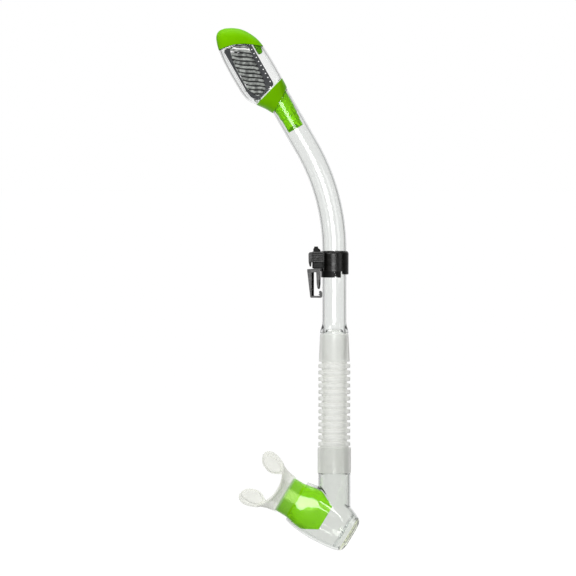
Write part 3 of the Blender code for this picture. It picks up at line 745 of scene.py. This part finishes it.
def make_housing():
    rows = HOUSING_ROWS + [narrower(row, 1.5) for row in HOUSING_ROWS[::-1]]
    reaches = ([0.3] + [4.0] * (len(HOUSING_ROWS) - 2) + [0.3]) * 2
    made = to_object("head_shell", loft(rows, head_loop, reaches, closed=True))
    cut(made, prism(HEAD, rounded(WINDOW_OUTLINE, 2.0), -20, 20))
    dress(made, "head_housing", "tube", looks["housing"], 35)


def on_tongue(x, y, z):
    """Whether a point is on one of the two tongues that make_cap adds, which get the painted shade of the
    tongue look.
    """
    nearest_y, farthest_y = 5.0, 7.0
    left_u, top_v = 4.0, 57.0
    u, v = HEAD.local(x, z)
    return nearest_y < abs(y) < farthest_y and u > left_u and v < top_v


def make_cap():
    rows = [
        (-11.4, 81.5, -9.6, 80.9, 0.5, 2.0, 0.0),
        (-15.6, 82.1, -4.2, 78.2, 3.2, 2.0, 0.4),
        (-18.8, 80.8, 1.0, 74.3, 6.4, 2.3, 1.2),
        (-20.8, 78.7, 4.3, 70.4, 9.3, 2.6, 2.0),
        (-22.2, 76.2, 7.4, 65.2, 11.6, 3.0, 2.8),
        (-23.2, 73.4, 9.7, 60.0, 13.1, 3.4, 3.4),
        (-24.1, 70.4, 11.0, 54.9, 14.0, 3.8, 4.0),
        (-24.9, 67.2, 11.6, 50.2, 14.3, 4.0, 4.2),
        (-23.4, 66.6, 10.1, 50.9, 12.8, 4.0, 4.2),
        (-22.6, 70.0, 9.5, 54.6, 12.5, 3.8, 4.0),
        (-21.8, 72.4, 8.2, 59.2, 11.6, 3.4, 3.4),
        (-20.8, 74.9, 5.9, 64.0, 10.1, 3.0, 2.6),
        (-19.5, 77.1, 3.0, 68.8, 7.9, 2.6, 1.6),
        (-17.7, 79.0, -0.2, 72.6, 5.0, 2.3, 0.8),
        (-15.0, 80.1, -4.7, 76.6, 2.0, 2.0, 0.2),
    ]
    reaches = [1.0] + [3.0] * 6 + [0.35, 0.35] + [3.0] * 6
    made = to_object("head_dome", loft(rows, head_loop, reaches))
    tongue = [(4.2, 45.3), (8.6, 45.3), (9.4, 50.6), (10.4, 53.0), (9.0, 58.0), (4.2, 58.0)]
    thick = 1.6
    for front in (-6.8, 5.2):
        join(made, prism(HEAD, rounded(tongue, 2.0), front, front + thick))
    dress(made, "head_cap", "tube", looks["cap"], 50)
    # Painted shade: the tongues take a darker lime than the cap.
    second_look(made, looks["tongue"], on_tongue)


def make_cage():
    made = to_object("cage", prism(HEAD, rounded(CAGE_OUTLINE, 1.0), -9.0, 9.0))
    cut(made, prism(HEAD, rounded(inset(CAGE_OUTLINE, 1.4), 0.6), -15, 15))
    port = rounded([(-18.6, 62), (-12.2, 62), (-12.2, 69), (-18.6, 69)], 1.2)
    cut(made, prism(HEAD, port, -5.0, 5.0))
    dress(made, "float_cage", "tube", looks["cage"], 35)


def sweep(path, half_height, half_depth, y):
    """A rounded bar along a path in the XZ plane, thinner at its two ends."""
    sides = 16
    path = np.asarray(path, float)
    tangents = np.gradient(path, axis=0)
    tangents /= np.linalg.norm(tangents, axis=1)[:, None]
    normals = np.stack([-tangents[:, 1], tangents[:, 0]], 1)
    angle = 2 * math.pi * np.arange(sides) / sides
    loops = []
    last = len(path) - 1
    for k, (point, normal) in enumerate(zip(path, normals)):
        full = 0.55 if k in (0, last) else 0.85 if k in (1, last - 1) else 1.0
        flat = point[None, :] + normal[None, :] * (half_height * full * np.cos(angle))[:, None]
        depth = y + half_depth * full * np.sin(angle)
        loops.append(np.stack([flat[:, 0], depth, flat[:, 1]], 1))
    return skin(loops)


def span_across(outline, z):
    """The lowest and highest X where an outline crosses a height."""
    hits = []
    for k, (x1, z1) in enumerate(outline):
        x0, z0 = outline[k - 1]
        if (z0 > z) != (z1 > z):
            hits.append(x0 + (x1 - x0) * (z - z0) / (z1 - z0))
    return (min(hits), max(hits)) if hits else None


def louvre_bars(y):
    """Pairs of level wavy bars joined by a bend at their left end, like one bent ribbon."""
    field = [HEAD.at(*p) for p in rounded(LOUVRE_FIELD, 1.5, 4)]
    lowest = min(z for _, z in field)
    highest = max(z for _, z in field)
    wave = 0.4
    fall = 0.14
    margin = 0.8
    half_depth = 0.62
    count = int((highest - lowest) / SLOT_PITCH) // 2 * 2 + 2
    levels = [highest - 1.1 - SLOT_PITCH * k for k in range(count)]
    bars = []
    for k in range(0, count, 2):
        runs = []
        for level in (levels[k + 1], levels[k]):
            span = span_across(field, min(max(level, lowest + margin), highest - margin))
            t = np.linspace(0, 1, 25)
            x = span[0] + margin + (span[1] - span[0] - 0.3) * t
            drop = fall * (x - x.mean())
            runs.append(np.stack([x, level - drop - wave * np.sin(2 * math.pi * t)], 1))
        low, high = runs
        bend_x = min(low[0][0], high[0][0]) + 0.2
        middle = (low[0][1] + high[0][1]) / 2
        radius = (high[0][1] - low[0][1]) / 2
        turn = np.radians(np.linspace(250, 110, 9))
        bend = np.stack([bend_x + 1.2 * np.cos(turn), middle + radius * np.sin(turn)], 1)
        if high[0][0] - low[0][0] > 6:
            bars += [sweep(run, RIB_HALF, half_depth, y) for run in runs]
        else:
            path = np.concatenate([low[::-1], bend, high])
            bars.append(sweep(path, RIB_HALF, half_depth, y))
    return bars


def make_grille(name, node, sign):
    near, far = sign * GRILLE_Y[0], sign * GRILLE_Y[1]
    middle = (near + far) / 2
    made = to_object(name, prism(HEAD, rounded(inset(CAGE_OUTLINE, 0.1), 1.0), near, far))
    cut(made, prism(HEAD, rounded(LOUVRE_FIELD, 1.5), -15, 15))
    dot_u, lowest_v, dot_pitch = 1.15, 19.6, 4.15
    dots = [disc(dot_u, lowest_v + dot_pitch * k, 0.62, 12) for k in range(9)]
    cut(made, merged([prism(HEAD, dot, -15, 15) for dot in dots]))
    plate_points = len(made.data.vertices)
    add_shells(made, merged(louvre_bars(middle)))
    on_rib = made.data.attributes.new("rib", "FLOAT", "POINT")
    rib_points = len(made.data.vertices) - plate_points
    on_rib.data.foreach_set("value", [0.0] * plate_points + [1.0] * rib_points)
    dress(made, node, "tube", looks["grille"], 40)


def soften_cad(node, look, width):
    """A CAD node kept as it is, with fine rounded edges and its own material."""
    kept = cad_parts[node]
    kept.data.materials.clear()
    kept.data.materials.append(look)
    edge = kept.modifiers.new("rounded_edges", "BEVEL")
    edge.width = width * MM
    edge.segments = 3
    edge.limit_method = "ANGLE"
    edge.angle_limit = math.radians(40)
    edge.harden_normals = False


# ---------------------------------------------------------------- strap keeper


def make_sleeve():
    low, high = RING_SKIRT_Z - 2.7, RING_TOP_Z - 1.6
    inner, outer = SLEEVE_R
    rows = [(low, inner), (low, outer), (high, outer), (high, inner)]
    made = to_object("keeper_bushing", loft(rows, turned_loop, 0.2, closed=True))
    for left, right, back in SLEEVE_SLOTS:
        cut(made, box((left, right), (-14, back), (210, RING_BOTTOM_Z + 0.5)))
    dress(made, "keeper_sleeve", "sleeve", looks["sleeve"], 40)


def make_keeper_band():
    """The smooth round band of the keeper, with its skirt left on the side away from the strap."""
    inner, outer = RING_R
    lip = 11.3
    lip_z = RING_TOP_Z - 1.3
    rows = [
        (RING_SKIRT_Z, inner),
        (RING_SKIRT_Z, outer),
        (RING_TOP_Z - 1.5, outer),
        (RING_TOP_Z, outer - 1.3),
        (RING_TOP_Z, lip),
        (lip_z, lip),
        (lip_z, inner),
    ]
    reaches = [0.2, 0.4, 0.9, 0.9, 0.1, 0.1, 0.1]
    made = to_object("keeper_band", loft(rows, turned_loop, reaches, closed=True))
    cut(made, box((-30, 8.1), (-20, 20), (RING_SKIRT_Z - 3, RING_BOTTOM_Z)))
    dress(made, "keeper_ring", "keeper", looks["ring"], 35)


def make_keeper_receiver():
    """The ribbed box on the band that holds the strap hook, with a wing beside it."""
    inner, _ = RING_R
    top = RING_TOP_Z - 0.3
    recess_z = (230.9, 235.8)
    painted_shade_z = (230.6, 236.0)
    receiver = [(-19.9, 230.2), (-9.4, 230.2), (-9.0, 232), (-9.0, top), (-19.9, top)]
    made = to_object("keeper_receiver", prism(PLAIN, rounded(receiver, 0.7, 4), -13.4, -2.6))
    rails = [
        [(-20.15, 235.6), (-19.3, 235.6), (-19.3, 245.0), (-20.15, 245.0)],
        [(-10.0, 228.0), (-9.2, 228.0), (-9.2, 244.9), (-10.0, 244.9)],
    ]
    for rail in rails:
        join(made, prism(PLAIN, rounded(rail, 0.3, 4), -14.0, -8.0))
    wing = [
        (-19.45, 244.8),
        (-22.0, 244.8),
        (-23.3, 243.6),
        (-23.2, 236.0),
        (-22.2, 231.8),
        (-20.8, 231.8),
        (-20.4, 236.0),
        (-19.45, 239.0),
    ]
    join(made, prism(PLAIN, rounded(wing, 0.5, 4), -12.2, -4.7))
    hollow = [(RING_SKIRT_Z - 5, inner + 0.3), (RING_TOP_Z + 5, inner + 0.3)]
    cut(made, loft(hollow, turned_loop, 0.1))
    cut(made, box((-18.7, -12.95), (HOOK_Y[0] - GAP, HOOK_Y[1] + GAP), (225, 243)))
    cut(made, box((-19.25, -12.15), (HOOK_Y[0] - 0.4, HOOK_Y[1] + 1.1), (241.8, 250)))
    lowest_groove, groove_pitch, groove_height = 237.4, 1.9, 0.5
    grooves = []
    for k in range(4):
        z = lowest_groove + k * groove_pitch
        grooves.append(box((-18.9, -10.3), (-14, -13.15), (z, z + groove_height)))
    cut(made, merged(grooves))
    cut(made, box((-19.0, -10.2), (-15, -11.9), recess_z))
    melt(made, 0.16, 2)
    dress(made, "keeper_ring", "keeper", looks["receiver"])
    # Painted shade: faces at the height of the recess take the near-black sleeve material.
    second_look(made, looks["sleeve"], lambda x, y, z: painted_shade_z[0] < z < painted_shade_z[1])


def make_button():
    outline = [
        (-18.95, 243.9),
        (-12.45, 243.9),
        (-12.45, 246.6),
        (-13.6, 247.9),
        (-14.5, 248.1),
        (-14.7, 249.8),
        (-18.1, 249.8),
        (-18.3, 248.2),
        (-18.95, 247.9),
    ]
    made = to_object("button", prism(PLAIN, rounded(outline, 0.25, 3), HOOK_Y[0] - 0.1, HOOK_Y[1] + 0.8))
    melt(made, 0.14, 2)
    dress(made, "release_button", "button", looks["button"])


HOOK_OUTLINE = [
    (-24.6, 229.4),
    (-21.7, 204.3),
    (-21.1, 203.7),
    (-11.8, 203.7),
    (-10.9, 204.7),
    (-10.7, 207.9),
    (-11.4, 209.5),
    (-12.6, 210.1),
    (-13.7, 209.5),
    (-13.9, 208.3),
    (-12.9, 207.2),
    (-13.2, 205.5),
    (-18.3, 205.5),
    (-18.3, 226.7),
    (-16.3, 226.7),
    (-15.9, 215.9),
    (-15.3, 212.4),
    (-14.1, 211.4),
    (-12.9, 212.2),
    (-12.4, 216.0),
    (-12.3, 229.8),
    (-13.25, 229.8),
    (-13.25, 240.0),
    (-18.4, 240.0),
    (-18.4, 229.8),
]


def bevelled_front(x, z):
    """The hook's front face is set back from the right edge of each leg, so that side slopes away.

    Its lowest edge is raised a little for the same reason.
    """
    leg_edges = ((-18.3, 2.1), (-12.3, 1.3))
    legs_top = 227.5
    foot_top, foot_rise = 204, 0.8
    for edge, width in leg_edges:
        if abs(x - edge) < 0.75 and z < legs_top:
            return x - width, z
    return (x, z + foot_rise) if z < foot_top else (x, z)


def make_hook():
    outline = rounded(HOOK_OUTLINE, 0.45, 4)
    front, back = HOOK_Y
    slope_depth = 2.6
    flat = [PLAIN.at(*p) for p in outline]
    face = [bevelled_front(*p) for p in outline]
    layers = [(face, front), (flat, front + slope_depth), (flat, back)]
    made = to_object("j_hook", skin([np.array([(x, y, z) for x, z in points]) for points, y in layers]))
    melt(made, 0.15, 2)
    dress(made, "strap_hook", "hook", looks["hook"])


# ---------------------------------------------------------------- hose


def make_hose():
    rows = [(HOSE_TOP_Z, 12.2), (HOSE_TOP_Z - 0.6, 12.8), (RIB_TOP_Z + 0.8, 13.9), (RIB_TOP_Z, 13.9)]
    reaches = [0.2, 0.4, 0.3, 0.3]
    groove = RIB_PITCH - RIB_THICK
    for k in range(RIB_COUNT):
        top = RIB_TOP_Z - k * RIB_PITCH
        rows += [
            (top - 0.15, GROOVE_R),
            (top - groove + 0.1, GROOVE_R),
            (top - groove - 0.15, RIB_R),
            (top - RIB_PITCH, RIB_R),
        ]
        reaches += [0.6, 0.6, 0.7, 0.7]
    bottom = RIB_TOP_Z - RIB_COUNT * RIB_PITCH
    rows += [
        (bottom - 0.2, GROOVE_R + 0.6),
        (bottom - 1.2, GROOVE_R + 0.6),
        (bottom - 1.5, 15.0),
        (HOSE_BOTTOM_Z, 15.0),
        (HOSE_BOTTOM_Z, 13.0),
        (SOCKET_TOP_Z + 24.5, 13.0),
        (SOCKET_TOP_Z + 25.5, HOSE_BORE_R),
    ]
    reaches += [0.4, 0.4, 0.5, 0.4, 0.3, 0.4, 0.6]
    for k in reversed(range(RIB_COUNT)):
        middle = RIB_TOP_Z - k * RIB_PITCH - groove / 2
        rows += [(middle - 1.6, HOSE_BORE_R + 0.5), (middle + 1.0, HOSE_BORE_R)]
        reaches += [0.8, 0.8]
    rows += [(SPIGOT_BOTTOM_Z - 1.6, HOSE_BORE_R), (SPIGOT_BOTTOM_Z - 0.8, 11.25), (HOSE_TOP_Z, 11.25)]
    reaches += [0.5, 0.4, 0.2]
    made = to_object("corrugated_hose", loft(rows, turned_loop, reaches, closed=True, longest=2.5))
    made.data.materials.append(looks["hose"])
    made.data.shade_smooth()
    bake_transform(made)
    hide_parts("hose")


# ---------------------------------------------------------------- purge chamber and mouthpiece


# each row: place along the axis, lowest, highest, half depth, squareness
CHAMBER_ROWS = [
    (-39.6, -19.2, 19.6, 13.6, 2.7),
    (-36.0, -20.2, 20.4, 14.2, 2.8),
    (-31.0, -21.4, 21.5, 14.8, 3.0),
    (-22.0, -22.4, 22.5, 15.2, 3.2),
    (-12.0, -22.5, 22.7, 15.2, 3.2),
    (-3.0, -22.0, 22.2, 15.2, 3.2),
    (4.0, -21.3, 20.9, 15.2, 3.2),
    (9.6, -20.5, 18.6, 14.9, 3.1),
    (12.8, -19.8, 17.2, 14.5, 3.0),
    (14.8, -19.0, 16.1, 14.1, 3.0),
]


def thinner(row, wall):
    along, low, high, depth, square = row
    return (along, low + wall, high - wall, depth - wall, square)


def make_chamber():
    wall = 1.7
    made = to_object("purge_shell", loft(CHAMBER_ROWS, chamber_loop, 3.0))
    foot = [
        (4.0, SOCKET_R),
        (SOCKET_TOP_Z, SOCKET_R),
        (SOCKET_TOP_Z, 12.3),
        (SOCKET_TOP_Z + 6.0, 12.7),
        (SOCKET_TOP_Z + 7.0, 12.2),
        (SOCKET_TOP_Z + 12.6, 12.7),
        (SOCKET_TOP_Z + 13.6, 12.2),
        (SOCKET_TOP_Z + 22.0, 12.2),
        (SOCKET_TOP_Z + 23.0, 11.8),
    ]
    join(made, loft(foot, turned_loop, 0.3))
    rows = [thinner(row, wall) for row in CHAMBER_ROWS]
    rows = [(rows[0][0] - 5, *rows[0][1:])] + rows + [(rows[-1][0] + 5, *rows[-1][1:])]
    cut(made, loft(rows, chamber_loop, 3.0))
    throat_r = 10.6
    bore = [
        (6.0, SOCKET_BORE_R),
        (SOCKET_TOP_Z - 1.0, SOCKET_BORE_R),
        (SOCKET_TOP_Z - 0.9, throat_r),
        (SOCKET_TOP_Z + 30, throat_r),
    ]
    cut(made, loft(bore, turned_loop, 0.03))
    dress(made, "purge_chamber", "lower", looks["chamber"], 38)


def make_adapter():
    rows = [
        (-52.3, -16.8, 16.8, 10.0, 2.6),
        (-42.0, -16.9, 16.9, 11.2, 2.6),
        (-39.0, -17.2, 17.4, 11.5, 2.7),
        (-31.0, -19.0, 19.2, 12.5, 3.0),
        (-22.0, -19.9, 20.0, 13.1, 3.2),
        (-9.8, -19.9, 20.0, 13.1, 3.2),
    ]
    both = rows + [thinner(row, 1.5) for row in rows[::-1]]
    reaches = [0.3, 1.0, 2.0, 3.0, 3.0, 0.3] + [0.3, 3.0, 3.0, 2.0, 1.0, 0.3]
    made = to_object("adapter", loft(both, chamber_loop, reaches, closed=True))
    upper = [(-9.4, 12.5), (-29.0, 21.3), (-29.0, 26.0), (-5.0, 26.0), (-5.0, 12.5)]
    lower = [(-9.4, -10.8), (-5.0, -10.8), (-5.0, -26.0), (-25.2, -26.0), (-25.2, -19.6)]
    back_set = 3.0
    for corner in (upper, lower):
        cut(made, prism(CHAMBER, corner, -20, 0))
        cut(made, prism(CHAMBER, [(a - back_set, b) for a, b in corner[:3]] + corner[3:], -0.01, 20))
    cut(made, box_in(CHAMBER, (-9.8 - back_set, 0), (0, 20), (-30, 30)))
    dress(made, "mouthpiece_adapter", "lower", looks["adapter"], 35)


def mouth_loop(row):
    """A loop across the mouthpiece whose ends sweep back along the chamber axis."""
    along, half, depth, square, sweep_back = row
    angle = 2 * math.pi * np.arange(SIDES) / SIDES
    across = signed_power(np.cos(angle), 2 / square)
    x, z = CHAMBER.at(along - sweep_back * across**2, half * across)
    return np.stack([x, depth * signed_power(np.sin(angle), 2 / square), z], 1)


BITE_TAB = [
    (-61.9, 14.0),
    (-64.6, 13.4),
    (-68.0, 11.2),
    (-71.2, 9.8),
    (-75.2, 9.6),
    (-81.4, 11.7),
    (-84.3, 14.0),
    (-86.5, 18.0),
    (-87.3, 21.8),
    (-85.0, 25.4),
    (-81.3, 27.0),
    (-76.0, 26.7),
    (-70.0, 24.6),
    (-66.0, 22.6),
]
BITE_PAD = [
    (-65.8, 14.8),
    (-68.6, 12.6),
    (-71.6, 11.2),
    (-75.2, 11.0),
    (-80.8, 13.0),
    (-83.4, 15.0),
    (-85.4, 18.4),
    (-85.6, 20.8),
    (-83.0, 22.0),
    (-75.0, 22.6),
    (-69.0, 20.6),
    (-66.4, 18.2),
]


def mark_milk(made):
    """Stores how milky the mouthpiece is: little on its stretched collar and fully on its lips."""
    clear_until, fade = -50.0, 5.0
    points = np.array([v.co for v in made.data.vertices]) / MM + STRAP_FACE
    along, _ = CHAMBER.local(points[:, 0], points[:, 2])
    milk = np.clip((clear_until - along) / fade, 0, 1)
    made.data.attributes.new("milk", "FLOAT", "POINT").data.foreach_set("value", milk.tolist())


def make_mouthpiece():
    collar_end = -41.0
    rows = [
        (collar_end, 18.0, 12.5, 2.6, 0.0),
        (-50.6, 18.0, 11.6, 2.5, 0.0),
        (-53.6, 18.3, 13.2, 2.4, 1.0),
        (-56.2, 19.3, 15.0, 2.3, 3.4),
        (-57.9, 21.0, 17.0, 2.2, 6.4),
        (-58.7, 22.4, 18.4, 2.2, 8.6),
        (-59.9, 21.9, 17.9, 2.2, 8.4),
        (-59.2, 17.0, 13.0, 2.1, 5.2),
        (-57.6, 11.4, 8.2, 2.0, 1.6),
        (-55.4, 10.4, 7.2, 2.0, 0.6),
        (-52.9, 10.4, 7.2, 2.0, 0.0),
        (-52.6, 16.9, 10.2, 2.5, 0.0),
        (-51.8, 17.1, 10.4, 2.6, 0.0),
        (collar_end, 17.1, 11.7, 2.6, 0.0),
    ]
    reaches = [0.4, 3.0, 2.5, 2.0, 1.2, 0.6, 0.6, 2.5, 1.2, 1.0, 0.4, 0.4, 0.4, 0.3]
    made = to_object("bite_mouthpiece", loft(rows, mouth_loop, reaches, closed=True))
    for sign in (1, -1):
        for outline, half, radius in ((BITE_TAB, 1.7, 2.0), (BITE_PAD, 3.3, 1.6)):
            shape = rounded([(w, sign * t) for w, t in outline], radius, 4)
            join(made, prism(CHAMBER, shape, -half, half))
        for w, t in ((-83.8, 24.0), (-80.0, 25.0), (-76.0, 24.6), (-72.0, 23.4)):
            join(made, prism(CHAMBER, disc(w, sign * t, 0.9, 16), -2.4, 2.4))
    cut(made, prism(CHAMBER, [(-42.9, 30), (-30, 30), (-30, -30), (-39.1, -30)], -20, 20))
    melt(made, 0.36, 16)
    mark_milk(made)
    dress(made, "mouthpiece", "lower", looks["mouthpiece"])


def make_purge_cover():
    rows = [
        (19.3, -11.4, 8.9, 7.8, 2.6),
        (19.3, -13.4, 10.9, 9.8, 2.6),
        (18.4, -16.0, 13.3, 11.9, 2.8),
        (17.0, -17.9, 15.0, 13.3, 3.0),
        (15.1, -18.8, 15.9, 13.9, 3.0),
        (15.1, -17.4, 14.5, 12.5, 3.0),
        (16.4, -16.6, 13.7, 11.9, 3.0),
        (17.3, -14.8, 12.1, 10.6, 2.8),
        (17.9, -12.4, 10.0, 8.8, 2.6),
    ]
    reaches = [0.5, 1.2, 1.2, 1.2, 0.3, 0.3, 1.2, 1.2, 0.5]
    made = to_object("purge_grid", loft(rows, chamber_loop, reaches))
    slot_pitch = 4.4
    slots = []
    for k in range(5):
        middle = PURGE_T + (k - 2) * slot_pitch
        slots.append(box_in(CHAMBER, (17, 21), (-7, 7), (middle - 1, middle + 1)))
    cut(made, merged(slots))
    dress(made, "purge_cover", "lower", looks["cover"], 38)


# ---------------------------------------------------------------- stage, light and camera


def make_stage():
    """A floor that looks white with only a faint shadow, and that clear pieces don't mirror."""
    low = cad_box[0][2] - 0.03
    mesh = bpy.data.meshes.new("studio_floor")
    size = 30.0
    corners = [(-size, -size, low), (size, -size, low), (size, size, low), (-size, size, low)]
    mesh.from_pydata(corners, [], [(0, 1, 2, 3)])
    floor = bpy.data.objects.new("studio_floor", mesh)
    bpy.context.scene.collection.objects.link(floor)
    made, tree, shader = new_look("floor_white")
    shader.inputs["Base Color"].default_value = (0.9, 0.9, 0.9, 1)
    shader.inputs["Roughness"].default_value = 0.9
    shader.inputs["Specular IOR Level"].default_value = 0.0
    glow = add_node(tree, "ShaderNodeEmission", Strength=1.09)
    glow_share = 0.88
    lit = mix_shaders(tree, glow_share, shader.outputs["BSDF"], glow.outputs["Emission"])
    path = add_node(tree, "ShaderNodeLightPath")
    open_air = add_node(tree, "ShaderNodeBsdfTransparent")
    mixed = mix_shaders(tree, path.outputs["Is Camera Ray"], open_air.outputs["BSDF"], lit)
    tree.links.new(mixed, tree.nodes["Material Output"].inputs["Surface"])
    mesh.materials.append(made)


FRONT_LIGHT = 0.22
SIDE_LIGHT = 0.25


def make_world():
    """White behind the object and dimmer to its sides from any camera angle, so that clear edges show."""
    world = bpy.data.worlds.new("studio")
    bpy.context.scene.world = world
    world.use_nodes = True
    tree = world.node_tree
    background = tree.nodes["Background"]
    way = add_node(tree, "ShaderNodeTexCoord").outputs["Generated"]
    spaces = {"vector_type": "VECTOR", "convert_from": "WORLD", "convert_to": "CAMERA"}
    turned = add_node(tree, "ShaderNodeVectorTransform", spaces)
    tree.links.new(way, turned.inputs["Vector"])
    parts = add_node(tree, "ShaderNodeSeparateXYZ")
    tree.links.new(turned.outputs["Vector"], parts.inputs["Vector"])
    side = calculate(tree, "ABSOLUTE", parts.outputs["X"])
    behind = remap(tree, parts.outputs["Z"], FRONT_LIGHT, 1.0, -0.1, 0.4)
    sideways = remap(tree, side, 1.0, SIDE_LIGHT, 0.3, 0.8)
    both = calculate(tree, "MULTIPLY", behind, sideways)
    path = add_node(tree, "ShaderNodeLightPath")
    seen = calculate(tree, "MAXIMUM", both, path.outputs["Is Camera Ray"])
    tree.links.new(seen, background.inputs["Strength"])
    background.inputs["Color"].default_value = (1, 1, 1, 1)


def area_light(name, place_at, aim, size, power, height=None):
    data = bpy.data.lights.new(name, "AREA")
    data.shape = "RECTANGLE"
    data.size = size
    data.size_y = height or size
    data.energy = power
    made = bpy.data.objects.new(name, data)
    made.location = place_at
    made.rotation_mode = "QUATERNION"
    made.rotation_quaternion = (Vector(aim) - Vector(place_at)).to_track_quat("-Z", "Y")
    bpy.context.scene.collection.objects.link(made)


def make_lights():
    centre = (-0.02, 0, 0)
    area_light("key_panel", (-1.3, -1.4, 1.0), centre, 0.9, 15)
    area_light("fill_panel", (1.4, -1.2, 0.3), centre, 0.7, 3)
    area_light("front_panel", (-0.25, -1.9, 0.1), centre, 0.75, 8.5, 0.6)
    area_light("strip_panel", (0.32, -1.9, 0.1), centre, 0.06, 1.2, 0.6)
    area_light("top_panel", (0.0, 0.2, 1.4), centre, 1.0, 9)


def make_camera():
    """A long lens in front of the barrel's bend, a little above level."""
    distance = 6.0
    mm_per_pixel = 0.9
    frame_pixels = 576
    centre = to_world((-41.67, 0, 212.3))
    camera = bpy.data.cameras.new("camera")
    camera.sensor_width = 36
    camera.lens = camera.sensor_width * distance / (frame_pixels * mm_per_pixel * MM)
    camera.clip_start, camera.clip_end = 0.1, 100
    made = bpy.data.objects.new("camera", camera)
    tilt = math.radians(1.5)
    back = Vector((0, -math.cos(tilt), math.sin(tilt)))
    made.location = Vector(centre) + back * distance
    made.rotation_mode = "QUATERNION"
    made.rotation_quaternion = (-back).to_track_quat("-Z", "Y")
    bpy.context.scene.collection.objects.link(made)
    bpy.context.scene.camera = made


make_barrel()
make_head_base()
make_housing()
make_cap()
make_cage()
make_grille("grille_front", "vent_grille_front", -1)
make_grille("grille_back", "vent_grille_back", 1)
soften_cad("float", looks["float"], 0.7)
soften_cad("float_seal", looks["seal"], 0.4)
make_sleeve()
make_keeper_band()
make_keeper_receiver()
make_button()
make_hook()
make_hose()
make_chamber()
make_adapter()
make_mouthpiece()
soften_cad("purge_seat", looks["seat"], 0.15)
soften_cad("purge_membrane", looks["membrane"], 0.1)
make_purge_cover()
make_stage()
make_world()
make_lights()
make_camera()

scene = bpy.context.scene
scene.view_settings.view_transform = "Standard"
scene.cycles.use_denoising = True
scene.cycles.max_bounces = 16
scene.cycles.transmission_bounces = 16
scene.cycles.transparent_max_bounces = 16
